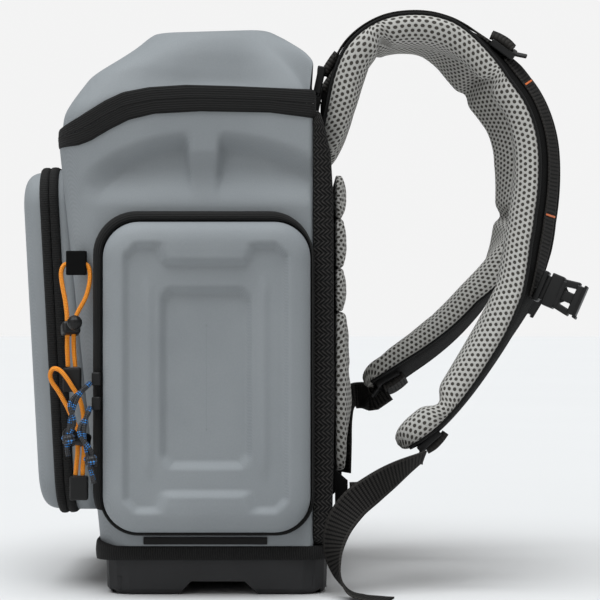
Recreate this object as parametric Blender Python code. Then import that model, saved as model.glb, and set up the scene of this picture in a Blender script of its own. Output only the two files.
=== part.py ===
"""Tackle backpack: a moulded case on a hard base, with a zipped lid, three zipped pockets and a padded harness.

Metres, +Z up. +X points from the front pocket to the wearer's back, and Y runs across the pack.
The near side is -Y. Sizes are given from the case's own datum; ORIGIN_X moves them to the middle of the whole box.
"""

import math

import bmesh
import bpy
from mathutils import Matrix, Vector

# Driving dimensions
GAP = 0.0003
ORIGIN_X = Vector((-0.0771, 0.0, 0.0))
CASE_HALF_WIDTH = 0.146
CASE_REAR = 0.083
CASE_BOTTOM = 0.0335
FRONT_CORNER = 0.028
REAR_CORNER = 0.005
WALL = 0.004
RIM_GAP = 0.0008
PANEL_TOP = 0.400
HINGE_LINE = Vector((0.0820, 0.0, 0.4375))
NEAR = -1
FAR = 1
SIDES = {"near": NEAR, "far": FAR}

# Side pockets
DOOR_FRONT = -0.090
DOOR_REAR = 0.081
DOOR_BOTTOM = 0.0525
DOOR_TOP = 0.308
DOOR_CORNER = 0.030
DOOR_RIM = 0.1475
DOOR_FACE = 0.1740
SIDE_HINGE_Y = 0.1485
SIDE_HINGE_Z = 0.0515

# Front pocket, which leans with the case's front
POCKET_FOOT = Vector((-0.1115, 0.0, 0.0660))
POCKET_LEAN = math.radians(3.1)
POCKET_HEIGHT = 0.288
POCKET_HALF_WIDTH = 0.112
POCKET_CORNER = 0.030
BAND_DEPTH = 0.0155
POCKET_DEPTH = 0.0315

# Harness
STRAP_WIDTH = 0.064
STRAP_THICKNESS = 0.026
WEBBING_WIDTH = 0.025
WEBBING = 0.0014
SIDE_RELEASE_LENGTH = 0.040
STRAP_HINGE_TOP = Vector((0.0905, 0.112, 0.385))
STRAP_HINGE_FOOT = Vector((0.1130, 0.125, 0.079))

# Cords
BUNGEE = 0.0038
PARACORD = 0.0040
LOCK_AXIS = {"upper": Vector((0.30, -0.90, 0.30)), "lower": Vector((-0.45, -0.85, 0.28))}

CORNER_STEPS = 4
LONG_STEPS = 8
SHORT_STEPS = 2
FEED_STEPS = 3

# The zip band's lower and upper edges along the side of the case, front to rear
BAND_LOW = (
    (-0.131, 0.3690), (-0.111, 0.3710), (-0.101, 0.3745), (-0.085, 0.3840),
    (-0.069, 0.3920), (-0.048, 0.3970), (-0.010, 0.3990), (0.047, 0.3980), (0.089, 0.3925),
)
BAND_HIGH = (
    (-0.131, 0.3840), (-0.110, 0.3950), (-0.089, 0.4080), (-0.074, 0.4150),
    (-0.053, 0.4190), (-0.022, 0.4210), (0.016, 0.4200), (0.085, 0.4170),
)

# The lid's own outline: front x, height at the front, rear x, height at the rear, half width
LID_STEPS = (
    (-0.1277, 0.3870, 0.0830, 0.4380, 0.1460),
    (-0.1220, 0.4020, 0.0810, 0.4385, 0.1400),
    (-0.1090, 0.4180, 0.0790, 0.4395, 0.1310),
    (-0.0950, 0.4300, 0.0750, 0.4430, 0.1230),
    (-0.0800, 0.4430, 0.0680, 0.4495, 0.1150),
    (-0.0640, 0.4545, 0.0600, 0.4570, 0.1070),
    (-0.0510, 0.4625, 0.0510, 0.4635, 0.1000),
    (-0.0350, 0.4655, 0.0400, 0.4665, 0.0850),
)

# Middle line of each shoulder strap in x and z, from the back panel over the shoulder to the lower end
NEAR_STRAP = (
    (0.1035, 0.382), (0.1055, 0.400), (0.1110, 0.430), (0.1225, 0.455), (0.145, 0.471), (0.172, 0.475),
    (0.196, 0.470), (0.222, 0.456), (0.248, 0.436), (0.268, 0.412), (0.279, 0.382), (0.281, 0.348),
    (0.277, 0.312), (0.268, 0.281), (0.256, 0.250), (0.240, 0.220), (0.223, 0.193), (0.205, 0.168),
    (0.187, 0.148), (0.168, 0.134),
)
FAR_STRAP = (
    (0.1035, 0.382), (0.1055, 0.400), (0.1110, 0.430), (0.1225, 0.455), (0.145, 0.471), (0.172, 0.475),
    (0.196, 0.470), (0.222, 0.456), (0.248, 0.436), (0.268, 0.412), (0.279, 0.382), (0.279, 0.348),
    (0.273, 0.318), (0.263, 0.290), (0.249, 0.266), (0.231, 0.244), (0.211, 0.224), (0.189, 0.207),
    (0.166, 0.193), (0.146, 0.182),
)
STRAP_ROUTES = {"near": NEAR_STRAP, "far": FAR_STRAP}
# How far along the strap its outer face has turned to the side, in degrees
STRAP_TURN = ((0.0, 0.0), (0.30, 2.0), (0.48, 20.0), (0.78, 20.0), (1.0, 8.0))
# Distance of the strap's middle from the pack's middle plane
STRAP_SPREAD = ((0.0, 0.0785), (0.30, 0.0800), (0.60, 0.0880), (1.0, 0.0960))

# Free end of the near lower webbing: points of its middle line and the direction of its width there
TAIL_ROUTE = (
    ((0.1900, -0.1245, 0.1245), (0.10, 0.90, -0.30)), ((0.1740, -0.1290, 0.1130), (0.20, 0.80, -0.50)),
    ((0.1560, -0.1350, 0.1010), (0.35, 0.60, -0.70)), ((0.1360, -0.1430, 0.0880), (0.50, 0.30, -0.80)),
    ((0.1190, -0.1490, 0.0740), (0.75, 0.05, -0.65)), ((0.1070, -0.1530, 0.0570), (0.95, -0.05, -0.30)),
    ((0.1020, -0.1560, 0.0400), (1.00, -0.10, -0.05)), ((0.1035, -0.1580, 0.0240), (0.98, 0.15, 0.15)),
    ((0.1100, -0.1600, 0.0110), (0.75, 0.60, 0.30)), ((0.1230, -0.1620, 0.0035), (0.30, 0.95, 0.10)),
    ((0.1400, -0.1630, 0.0018), (0.05, 1.00, 0.00)), ((0.1600, -0.1620, 0.0018), (-0.05, 1.00, 0.00)),
    ((0.1800, -0.1600, 0.0020), (-0.10, 1.00, 0.00)),
)

# Routes of the free cords, chosen by hand
BUNGEE_UPPER_ROUTE = (
    (-0.1186, -0.1508, 0.1885), (-0.1190, -0.1512, 0.1960), (-0.1193, -0.1516, 0.2060), (-0.1191, -0.1520, 0.2160),
    (-0.1192, -0.1522, 0.2240), (-0.1197, -0.1514, 0.2330), (-0.1212, -0.1504, 0.2440), (-0.1234, -0.1496, 0.2550),
    (-0.1246, -0.1490, 0.2650), (-0.1228, -0.1487, 0.2716), (-0.1180, -0.1486, 0.2736), (-0.1120, -0.1486, 0.2740),
    (-0.1060, -0.1487, 0.2736), (-0.1018, -0.1494, 0.2700), (-0.1008, -0.1506, 0.2600), (-0.1040, -0.1516, 0.2460),
    (-0.1102, -0.1524, 0.2340), (-0.1138, -0.1526, 0.2240), (-0.1139, -0.1522, 0.2160), (-0.1139, -0.1516, 0.2060),
    (-0.1134, -0.1512, 0.1960), (-0.1127, -0.1508, 0.1885),
)
BUNGEE_LOWER_ROUTE = (
    (-0.1125, -0.1508, 0.0995), (-0.1118, -0.1512, 0.1080), (-0.1108, -0.1518, 0.1180), (-0.1106, -0.1521, 0.1280),
    (-0.1112, -0.1523, 0.1370), (-0.1150, -0.1520, 0.1460), (-0.1195, -0.1520, 0.1560), (-0.1262, -0.1524, 0.1680),
    (-0.1318, -0.1526, 0.1765), (-0.1330, -0.1535, 0.1828), (-0.1300, -0.1565, 0.1872), (-0.1245, -0.1590, 0.1860),
    (-0.1190, -0.1600, 0.1800), (-0.1140, -0.1590, 0.1720), (-0.1085, -0.1565, 0.1620), (-0.1060, -0.1540, 0.1500),
    (-0.1057, -0.1525, 0.1380), (-0.1056, -0.1521, 0.1280), (-0.1056, -0.1518, 0.1180), (-0.1064, -0.1512, 0.1080),
    (-0.1067, -0.1508, 0.0995),
)
PULL_UPPER_ROUTE = (
    (-0.0990, -0.1665, 0.1760), (-0.1015, -0.1700, 0.1735), (-0.1050, -0.1735, 0.1695), (-0.1088, -0.1755, 0.1635),
    (-0.1116, -0.1764, 0.1560), (-0.1135, -0.1767, 0.1480), (-0.1148, -0.1767, 0.1400), (-0.1160, -0.1766, 0.1320),
    (-0.1165, -0.1765, 0.1240), (-0.1155, -0.1764, 0.1170),
)
PULL_LOWER_ROUTE = (
    (-0.0990, -0.1665, 0.1560), (-0.1005, -0.1705, 0.1520), (-0.1020, -0.1740, 0.1455), (-0.1030, -0.1760, 0.1380),
    (-0.1028, -0.1767, 0.1310), (-0.1012, -0.1769, 0.1240), (-0.0995, -0.1768, 0.1170), (-0.0980, -0.1766, 0.1090),
    (-0.0962, -0.1764, 0.1010), (-0.0950, -0.1762, 0.0950),
)


def material(name, colour, roughness, metallic=0.0):
    """The named Principled material, made on first use."""
    found = bpy.data.materials.get(name)
    if found:
        return found
    made = bpy.data.materials.new(name)
    made.use_nodes = True
    shader = made.node_tree.nodes["Principled BSDF"]
    shader.inputs["Base Color"].default_value = (*colour, 1.0)
    shader.inputs["Roughness"].default_value = roughness
    shader.inputs["Metallic"].default_value = metallic
    return made


def grey_cloth():
    return material("grey_cloth", (0.40, 0.44, 0.47), 0.75)


def black_cloth():
    return material("black_cloth", (0.02, 0.02, 0.022), 0.85)


def grey_mesh():
    return material("grey_mesh", (0.42, 0.42, 0.41), 0.85)


def black_webbing():
    return material("black_webbing", (0.018, 0.018, 0.02), 0.7)


def black_plastic():
    return material("black_plastic", (0.025, 0.026, 0.028), 0.45)


def orange_cord():
    return material("orange_cord", (0.85, 0.28, 0.03), 0.65)


def blue_cord():
    return material("blue_cord", (0.03, 0.05, 0.10), 0.7)


def place(mesh, name, look, pivot):
    """Turns a finished bmesh into the named object, with its origin at the pivot."""
    data = bpy.data.meshes.new(name)
    bmesh.ops.recalc_face_normals(mesh, faces=mesh.faces)
    if mesh.calc_volume(signed=True) < 0:
        bmesh.ops.reverse_faces(mesh, faces=mesh.faces)
    bmesh.ops.translate(mesh, vec=-pivot, verts=mesh.verts)
    mesh.to_mesh(data)
    mesh.free()
    data.materials.append(look)
    data.shade_smooth()
    data.set_sharp_from_angle(angle=math.radians(40))
    piece = bpy.data.objects.new(name, data)
    piece.location = pivot + ORIGIN_X
    bpy.context.collection.objects.link(piece)
    return piece


def loft(name, rings, look, pivot=Vector(), cyclic=False):
    """One closed body through rings with equal numbers of points, capped at both ends unless it is cyclic."""
    mesh = bmesh.new()
    rows = [[mesh.verts.new(point) for point in ring] for ring in rings]
    spans = list(zip(rows, rows[1:]))
    if cyclic:
        spans.append((rows[-1], rows[0]))
    for low, high in spans:
        for i in range(len(low)):
            j = (i + 1) % len(low)
            mesh.faces.new((low[i], low[j], high[j], high[i]))
    if not cyclic:
        mesh.faces.new(rows[0])
        mesh.faces.new(rows[-1])
    return place(mesh, name, look, pivot)


def block(name, centre, size, look, pivot=Vector(), turn=Matrix(), bevel=0.0):
    """A box turned about its own centre, with bevelled edges."""
    mesh = bmesh.new()
    bmesh.ops.create_cube(mesh, size=1.0)
    bmesh.ops.scale(mesh, vec=size, verts=mesh.verts)
    if bevel:
        bmesh.ops.bevel(mesh, geom=mesh.edges, offset=bevel, segments=2, profile=0.5, affect="EDGES")
    bmesh.ops.transform(mesh, matrix=Matrix.Translation(centre) @ turn, verts=mesh.verts)
    return place(mesh, name, look, pivot)


def cut(piece, cutters):
    """Takes the cutters out of the piece with Boolean modifiers."""
    for cutter in cutters:
        cutter.hide_render = True
        cutter.display_type = "WIRE"
        modifier = piece.modifiers.new(cutter.name, "BOOLEAN")
        modifier.operation = "DIFFERENCE"
        modifier.object = cutter


def between(table, x):
    """Straight-line reading of a table of (x, value) pairs."""
    if x <= table[0][0]:
        return table[0][1]
    for (x0, v0), (x1, v1) in zip(table, table[1:]):
        if x <= x1:
            return v0 + (v1 - v0) * (x - x0) / (x1 - x0)
    return table[-1][1]


def front_x(z):
    """Where the leaning front of the case stands at a height."""
    return -0.096 - (z - 0.053) * 0.0977


def band_middle(x):
    return (between(BAND_LOW, x) + between(BAND_HIGH, x)) / 2


def smooth_route(points, count):
    """Points at equal steps along a Catmull-Rom curve through the given ones."""
    route = [Vector(point) for point in points]
    ends = [2 * route[0] - route[1], *route, 2 * route[-1] - route[-2]]
    fine = []
    for a, b, c, d in zip(ends, ends[1:], ends[2:], ends[3:]):
        for step in range(12):
            t = step / 12
            fine.append(
                0.5 * (2 * b + (c - a) * t + (2 * a - 5 * b + 4 * c - d) * t * t + (3 * b - a - 3 * c + d) * t**3)
            )
    fine.append(route[-1])
    lengths = [0.0]
    for p, q in zip(fine, fine[1:]):
        lengths.append(lengths[-1] + (q - p).length)
    result = []
    i = 0
    for k in range(count):
        want = lengths[-1] * k / (count - 1)
        while i < len(fine) - 2 and lengths[i + 1] < want:
            i += 1
        share = (want - lengths[i]) / (lengths[i + 1] - lengths[i])
        result.append(fine[i].lerp(fine[i + 1], share))
    return result


def rounded_outline(low_u, high_u, low_v, high_v, radius, corner_steps=CORNER_STEPS, long_steps=1, short_steps=1):
    """Anticlockwise points of a rounded rectangle; long sides run along u, short ones along v."""
    centres = (
        (high_u - radius, high_v - radius),
        (low_u + radius, high_v - radius),
        (low_u + radius, low_v + radius),
        (high_u - radius, low_v + radius),
    )
    corners = []
    for quarter, (cu, cv) in enumerate(centres):
        arc = []
        for step in range(corner_steps + 1):
            angle = math.pi / 2 * (quarter + step / corner_steps)
            arc.append((cu + radius * math.cos(angle), cv + radius * math.sin(angle)))
        corners.append(arc)
    points = []
    for quarter, arc in enumerate(corners):
        points.extend(arc)
        steps = long_steps if quarter % 2 == 0 else short_steps
        (u0, v0), (u1, v1) = arc[-1], corners[(quarter + 1) % 4][0]
        for step in range(1, steps):
            points.append((u0 + (u1 - u0) * step / steps, v0 + (v1 - v0) * step / steps))
    return points


def plan_ring(front, rear, half_width, inset, height):
    """A ring of the case seen from above; height is a number or a function of x and y."""
    centres = (
        (rear - REAR_CORNER, half_width - REAR_CORNER, REAR_CORNER),
        (front + FRONT_CORNER, half_width - FRONT_CORNER, FRONT_CORNER),
        (front + FRONT_CORNER, FRONT_CORNER - half_width, FRONT_CORNER),
        (rear - REAR_CORNER, REAR_CORNER - half_width, REAR_CORNER),
    )
    arcs = []
    for quarter, (cx, cy, radius) in enumerate(centres):
        arc = []
        for step in range(CORNER_STEPS + 1):
            angle = math.pi / 2 * (quarter + step / CORNER_STEPS)
            reach = radius - inset
            arc.append((cx + reach * math.cos(angle), cy + reach * math.sin(angle)))
        arcs.append(arc)
    plan = []
    for quarter, arc in enumerate(arcs):
        plan.extend(arc)
        steps = LONG_STEPS if quarter % 2 == 0 else SHORT_STEPS
        (x0, y0), (x1, y1) = arc[-1], arcs[(quarter + 1) % 4][0]
        for step in range(1, steps):
            plan.append((x0 + (x1 - x0) * step / steps, y0 + (y1 - y0) * step / steps))
    if callable(height):
        return [Vector((x, y, height(x, y))) for x, y in plan]
    return [Vector((x, y, height)) for x, y in plan]


def base_tray():
    """Hard foot: a pan with hollow feet underneath, an arch between them and four notches."""
    tray_front, tray_rear, half_width, height, floor = -0.0900, 0.0950, 0.1420, 0.0295, 0.0145

    def ring(inset, z):
        outline = rounded_outline(
            tray_front + inset, tray_rear - inset, inset - half_width, half_width - inset, 0.020, 3
        )
        return [Vector((x, y, z)) for x, y in outline]

    rings = [ring(0.004, 0.0), ring(0.001, 0.004), ring(0.0, height), ring(0.003, height), ring(0.003, floor)]
    tray = loft("base_tray", rings, black_plastic())
    arch_outline = ((-0.030, -0.002), (-0.018, 0.0107), (0.026, 0.0107), (0.040, -0.002))
    arch_rings = [[Vector((x, y, z)) for x, z in arch_outline] for y in (-0.160, 0.160)]
    cutters = [loft("arch_cutter", arch_rings, black_plastic())]
    for low, high in ((-0.084, -0.036), (0.046, 0.089)):
        for side in (NEAR, FAR):
            centre = Vector(((low + high) / 2, side * 0.0675, 0.0045))
            size = Vector((high - low, 0.131, 0.013))
            cutters.append(block(f"foot_cutter_{low}_{side}", centre, size, black_plastic()))
    for x in (-0.078, 0.085):
        for side in (NEAR, FAR):
            centre = Vector((x, side * half_width, 0.0095))
            cutters.append(block(f"notch_cutter_{x}_{side}", centre, Vector((0.005, 0.007, 0.011)), black_plastic()))
    cut(tray, cutters)


def base_binding():
    """Webbing sewn round the joint of the case and its base: a low closed hoop."""
    outer = rounded_outline(-0.0975, 0.0965, -0.1468, 0.1468, 0.024, 4, 3, 3)
    inner = rounded_outline(-0.0930, 0.0800, -0.1425, 0.1425, 0.020, 4, 3, 3)
    low, high = 0.0300, 0.0330
    rings = []
    for (ox, oy), (ix, iy) in zip(outer, inner):
        rings.append([Vector((ix, iy, low)), Vector((ox, oy, low)), Vector((ox, oy, high)), Vector((ix, iy, high))])
    loft("base_binding", rings, black_webbing(), cyclic=True)


def shell_ring(z, inset):
    return plan_ring(front_x(z), CASE_REAR, CASE_HALF_WIDTH, inset, z)


def main_shell():
    """The case: a moulded foam cup whose rim follows the lid's zip."""

    def rim(x, y):
        return band_middle(x) - RIM_GAP / 2

    outer = [shell_ring(z, 0.0) for z in (CASE_BOTTOM, 0.120, 0.210, 0.300, 0.350)]
    inner = [shell_ring(z, WALL) for z in (0.350, 0.210, CASE_BOTTOM + WALL)]
    rims = [plan_ring(front_x(0.376), CASE_REAR, CASE_HALF_WIDTH, inset, rim) for inset in (0.0, WALL)]
    loft("main_shell", outer + rims + inner, grey_cloth())


def zip_strip(name, low, high, pivot=Vector()):
    """A black band round the front and both sides of the rim, between two heights that follow x."""
    plan = plan_ring(front_x(0.380), CASE_REAR, CASE_HALF_WIDTH, -GAP, 0.0)
    proud = plan_ring(front_x(0.380), CASE_REAR, CASE_HALF_WIDTH, -0.0026, 0.0)
    rows = []
    for inner, outer in zip(plan, proud):
        if inner.x > CASE_REAR - REAR_CORNER + 0.0001:
            continue
        x = inner.x
        rows.append(
            [
                Vector((inner.x, inner.y, low(x))),
                Vector((outer.x, outer.y, low(x))),
                Vector((outer.x, outer.y, high(x))),
                Vector((inner.x, inner.y, high(x))),
            ]
        )
    return loft(name, rows, black_cloth(), pivot)


def lid_ring(step, inset, drop):
    """A ring of the lid: its height follows the zip's curve at the foot and flattens towards the top."""
    front, front_height, rear, rear_height, half_width = step
    climb = (front_height - LID_STEPS[0][1]) / (LID_STEPS[-1][1] - LID_STEPS[0][1])

    def height(x, y):
        share = (x - front) / (rear - front)
        straight = front_height + (rear_height - front_height) * min(1.0, share / 0.35)
        level = between(BAND_HIGH, x) * (1 - climb) + straight * climb
        if x > rear - REAR_CORNER + 0.0001:
            level = max(level, rear_height)
        return level - drop

    return plan_ring(front, rear, half_width, inset, height)


def lid_shell():
    """The domed lid; its rear edge lies on the hinge line, and its skirts reach down to the zip at the sides."""

    def rim(x, y):
        if x > CASE_REAR - REAR_CORNER + 0.0001:
            return HINGE_LINE.z + 0.0005
        return band_middle(x) + RIM_GAP / 2

    rims = [plan_ring(front_x(0.378), 0.0830, CASE_HALF_WIDTH, inset, rim) for inset in (0.0, WALL)]
    outer = [lid_ring(step, 0.0, 0.0) for step in reversed(LID_STEPS)]
    inner = [lid_ring(step, WALL, WALL * 0.6) for step in LID_STEPS[1:]]
    loft("lid_shell", outer + rims + inner, grey_cloth(), HINGE_LINE)


def rear_yoke():
    """The rear wall between the case's rim and the lid's hinge line."""
    foot, top = 0.4056, HINGE_LINE.z - 0.0012
    rings = []
    for z, x in ((foot, 0.0800), (top, 0.0785)):
        rings.append([Vector((x + dx, y, z)) for dx, y in ((0, -0.130), (0.0028, -0.130), (0.0028, 0.130), (0, 0.130))])
    loft("rear_yoke", rings, black_cloth())


def divider():
    block("divider", Vector((0.0280, 0.0, 0.1840)), Vector((0.004, 0.2800, 0.2920)), black_cloth(), bevel=0.001)


def panel_rear(z):
    """Where the harness panel's rear face stands at a height."""
    return between(((0.040, 0.0985), (0.160, 0.1005), (0.330, 0.0975), (0.365, 0.0905), (0.400, 0.0885)), z)


def back_gusset():
    """Spacer-mesh frame round the back panel."""
    outer = rounded_outline(-CASE_HALF_WIDTH, CASE_HALF_WIDTH, 0.0400, PANEL_TOP, 0.014, 3, 1, 6)
    inner = rounded_outline(-0.1330, 0.1330, 0.0530, PANEL_TOP - 0.013, 0.002, 3, 1, 6)
    front = CASE_REAR + GAP
    rings = []
    for (oy, oz), (iy, iz) in zip(outer, inner):
        rings.append(
            [
                Vector((front, iy, iz)),
                Vector((front, oy, oz)),
                Vector((panel_rear(oz) - 0.002, oy, oz)),
                Vector((panel_rear(iz), iy, iz)),
            ]
        )
    loft("back_gusset", rings, black_cloth(), cyclic=True)


def back_panel():
    """Stiffener sheet and foam board inside the gusset."""
    centre = Vector((0.0847, 0.0, 0.2200))
    block("frame_sheet", centre, Vector((0.0016, 0.2640, 0.3320)), black_plastic())
    rings = []
    for z in (0.0540, 0.1600, 0.3300, 0.3650, 0.3860):
        rear = panel_rear(z) - 0.0006
        rings.append([Vector((x, y, z)) for x, y in ((0.0860, -0.132), (rear, -0.132), (rear, 0.132), (0.0860, 0.132))])
    loft("back_foam", rings, black_cloth())


def back_pads():
    """Four crowned air-mesh pads, the lowest one tall for the lumbar region."""
    spans = ((0.3130, 0.3480), (0.2700, 0.3115), (0.2350, 0.2685), (0.0990, 0.2335))
    base, crown = 0.1012, 0.1150
    for number, (low, high) in enumerate(spans, 1):
        rings = []
        for share, inset in ((0.0, 0.0030), (0.25, 0.0), (0.60, 0.0015), (0.85, 0.0055), (1.0, 0.0120)):
            outline = rounded_outline(
                inset - 0.1080, 0.1080 - inset, low + inset, high - inset, min(0.016, (high - low) / 2 - inset - 0.0005), 3
            )
            rings.append([Vector((base + (crown - base) * share, y, z)) for y, z in outline])
        loft(f"back_pad_{number}", rings, grey_mesh())


def door_ring(front, rear, low, high, radius, y):
    outline = rounded_outline(front, rear, low, high, radius, 4, 2, 3)
    return [Vector((x, y, z)) for x, z in outline]


def side_door(name, side):
    """Side pocket's moulded door: a shallow cup that opens downwards about its lower edge."""
    levels = (
        (DOOR_RIM, 0.0000), (0.1600, 0.0010), (0.1670, 0.0035), (0.1715, 0.0080), (DOOR_FACE, 0.0150),
    )
    outer = []
    for y, inset in levels:
        ring = door_ring(
            DOOR_FRONT + inset, DOOR_REAR - inset, DOOR_BOTTOM + inset, DOOR_TOP - inset, DOOR_CORNER - inset * 0.6, side * y
        )
        outer.append(ring)
    inner = []
    for y, inset in ((DOOR_RIM, 0.0040), (0.1640, 0.0060), (0.1700, 0.0160)):
        ring = door_ring(
            DOOR_FRONT + inset, DOOR_REAR - inset, DOOR_BOTTOM + inset, DOOR_TOP - inset, DOOR_CORNER - inset * 0.6, side * y
        )
        inner.append(ring)
    pivot = Vector((0.0, side * SIDE_HINGE_Y, SIDE_HINGE_Z))
    loft(f"side_door_{name}", list(reversed(outer)) + inner, grey_cloth(), pivot)


def side_zip_frame(name, side):
    """Black zip band round the front, top and rear of a side pocket."""
    inner = rounded_outline(DOOR_FRONT - 0.0005, DOOR_REAR + 0.0005, 0.0525, DOOR_TOP + 0.0005, DOOR_CORNER, 5, 2, 3)
    outer = rounded_outline(-0.0980, 0.0828, 0.0500, 0.3165, 0.036, 5, 2, 3)
    lowest = 0.082
    start = CASE_HALF_WIDTH + GAP
    rings = []
    for (ix, iz), (ox, oz) in zip(inner, outer):
        if iz < lowest:
            continue
        rings.append(
            [
                Vector((ix, side * start, iz)),
                Vector((ox, side * start, oz)),
                Vector((ox, side * 0.1550, oz)),
                Vector((ix, side * 0.1580, iz)),
            ]
        )
    split = max(range(len(rings)), key=lambda i: (rings[i][0] - rings[i - 1][0]).length)
    rings = rings[split:] + rings[:split]
    loft(f"side_zip_frame_{name}", rings, black_cloth())


def pocket_point(y, up, out):
    """A point of the front pocket: across, up its leaning back plane, and out from that plane."""
    rise = Vector((-math.sin(POCKET_LEAN), 0.0, math.cos(POCKET_LEAN)))
    outward = Vector((-math.cos(POCKET_LEAN), 0.0, -math.sin(POCKET_LEAN)))
    return POCKET_FOOT + Vector((0.0, y, 0.0)) + rise * up + outward * out


def pocket_ring(inset, out, lift=0.0):
    half = POCKET_HALF_WIDTH - inset
    radius = POCKET_CORNER - inset * 0.6
    outline = rounded_outline(-half, half, inset + lift, POCKET_HEIGHT - inset, radius, 4, 2, 3)
    return [pocket_point(y, up, out) for y, up in outline]


def front_frame():
    """Grey rear part of the front pocket, a wedge-shaped hoop between the case and the zip."""

    def against_case(point):
        return Vector((front_x(point.z) - GAP - 0.0002, point.y, point.z))

    outer, inner = pocket_ring(-0.001, -GAP), pocket_ring(0.005, -GAP)
    rings = []
    for far_out, far_in in zip(outer, inner):
        rings.append([far_in, far_out, against_case(far_out), against_case(far_in)])
    loft("front_frame", rings, grey_cloth(), cyclic=True)


def front_pocket():
    """Front pocket: fixed zip half, moving zip half and moulded cover."""
    middle = BAND_DEPTH / 2
    hinge = pocket_point(0.0, -0.0032, middle)
    levels = ((0.003, GAP), (-0.003, GAP), (-0.003, middle - GAP), (0.003, middle - GAP))
    hoops = [pocket_ring(inset, out) for inset, out in levels]
    loft("front_zip_frame", list(zip(*hoops)), black_cloth(), cyclic=True)
    levels = ((-0.0004, middle + GAP), (-0.003, middle + GAP), (-0.003, BAND_DEPTH), (-0.0004, BAND_DEPTH))
    hoops = [pocket_ring(inset, out) for inset, out in levels]
    loft("front_door_tape", list(zip(*hoops)), black_cloth(), hinge, cyclic=True)
    levels = ((middle + GAP, 0.0), (0.0220, 0.0010), (0.0270, 0.0040), (0.0300, 0.0090), (POCKET_DEPTH, 0.0160))
    walls = ((middle + GAP, 0.0040), (0.0220, 0.0060), (0.0272, 0.0170))
    outside = [pocket_ring(inset, out) for out, inset in levels]
    inside = [pocket_ring(inset, out) for out, inset in walls]
    loft("front_door", list(reversed(outside)) + inside, grey_cloth(), hinge)


def slider(name, centre, turn):
    """Zip slider: a small bevelled wedge."""
    block(name, centre, Vector((0.0075, 0.0050, 0.0110)), black_plastic(), centre, turn, 0.0012)


def sliders():
    upright = Matrix()
    lying = Matrix.Rotation(math.radians(90), 4, "Y")
    slider("near_slider_upper", Vector((-0.0945, -0.1608, 0.1790)), upright)
    slider("near_slider_lower", Vector((-0.0945, -0.1608, 0.1590)), upright)
    slider("far_slider", Vector((-0.0945, 0.1608, 0.1790)), upright)
    for name, x in (("lid_slider_a", 0.0100), ("lid_slider_b", -0.0100)):
        slider(name, Vector((x, CASE_HALF_WIDTH + 0.0054, band_middle(x))), lying)
    centre = pocket_point(0.0, POCKET_HEIGHT + 0.0059, BAND_DEPTH / 2)
    block("front_slider", centre, Vector((0.0075, 0.0110, 0.0050)), black_plastic(), centre, upright, 0.0012)


def carry_handle():
    """A short webbing loop behind the yoke, with its width upright."""
    half = ((0.0912, -0.0440), (0.0962, -0.0415), (0.1022, -0.0330), (0.1063, -0.0180))
    points = [Vector(point) for point in half]
    points.append(Vector((0.1078, 0.0)))
    points.extend(Vector((x, -y)) for x, y in reversed(half))
    low, high = 0.4035, 0.4250
    rings = []
    for i, point in enumerate(points):
        along = (points[min(i + 1, len(points) - 1)] - points[max(i - 1, 0)]).normalized()
        aside = Vector((-along.y, along.x)) * 0.0012
        inside, outside = point - aside, point + aside
        rings.append([Vector((*inside, low)), Vector((*outside, low)), Vector((*outside, high)), Vector((*inside, high))])
    loft("carry_handle", rings, black_webbing(), Vector((0.0912, 0.0, 0.4142)))


def strap_stations(name, side, count):
    """Points along a strap's middle with their tangent, width direction and outward normal."""
    line = smooth_route([(x, 0.0, z) for x, z in STRAP_ROUTES[name]], count)
    stations = []
    for i, point in enumerate(line):
        share = i / (count - 1)
        tangent = (line[min(i + 1, count - 1)] - line[max(i - 1, 0)]).normalized()
        outward = Vector((-tangent.z, 0.0, tangent.x))
        turn = math.radians(between(STRAP_TURN, share))
        across = Vector((0.0, side, 0.0))
        normal = outward * math.cos(turn) + across * math.sin(turn)
        width = across * math.cos(turn) - outward * math.sin(turn)
        centre = Vector((point.x, side * between(STRAP_SPREAD, share), point.z))
        stations.append((centre, tangent, width, normal))
    return stations


def strap_hinge(side):
    return Vector((STRAP_HINGE_TOP.x, side * STRAP_HINGE_TOP.y, STRAP_HINGE_TOP.z))


def strap_pad(name, side):
    """Shoulder pad: a flat rounded tube with tapered ends."""
    stations = strap_stations(name, side, 27)
    rings = []
    for i, (centre, tangent, width, normal) in enumerate(stations):
        end = min(i, len(stations) - 1 - i)
        size = {0: 0.62, 1: 0.90}.get(end, 1.0)
        ring = []
        for step in range(12):
            angle = 2 * math.pi * (step + 0.5) / 12
            u = math.copysign(abs(math.cos(angle)) ** 0.45, math.cos(angle))
            v = math.copysign(abs(math.sin(angle)) ** 0.75, math.sin(angle))
            ring.append(centre + width * (u * STRAP_WIDTH / 2 * size) + normal * (v * STRAP_THICKNESS / 2 * size))
        rings.append(ring)
    loft(f"strap_pad_{name}", rings, grey_mesh(), strap_hinge(side))


def ribbon(name, frames, width, thickness, look, pivot):
    """Flat webbing through frames of (centre, width direction, normal); both faces share their diagonals."""
    mesh = bmesh.new()
    rows = []
    for centre, across, normal in frames:
        half, lift = across * (width / 2), normal * (thickness / 2)
        corners = (centre - half - lift, centre + half - lift, centre + half + lift, centre - half + lift)
        rows.append([mesh.verts.new(corner) for corner in corners])
    for low, high in zip(rows, rows[1:]):
        mesh.faces.new((low[0], low[1], high[1]))
        mesh.faces.new((low[0], high[1], high[0]))
        mesh.faces.new((low[3], high[2], low[2]))
        mesh.faces.new((low[3], high[3], high[2]))
        mesh.faces.new((low[1], low[2], high[2], high[1]))
        mesh.faces.new((low[3], low[0], high[0], high[3]))
    mesh.faces.new(rows[0])
    mesh.faces.new(rows[-1])
    return place(mesh, name, look, pivot)


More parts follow.
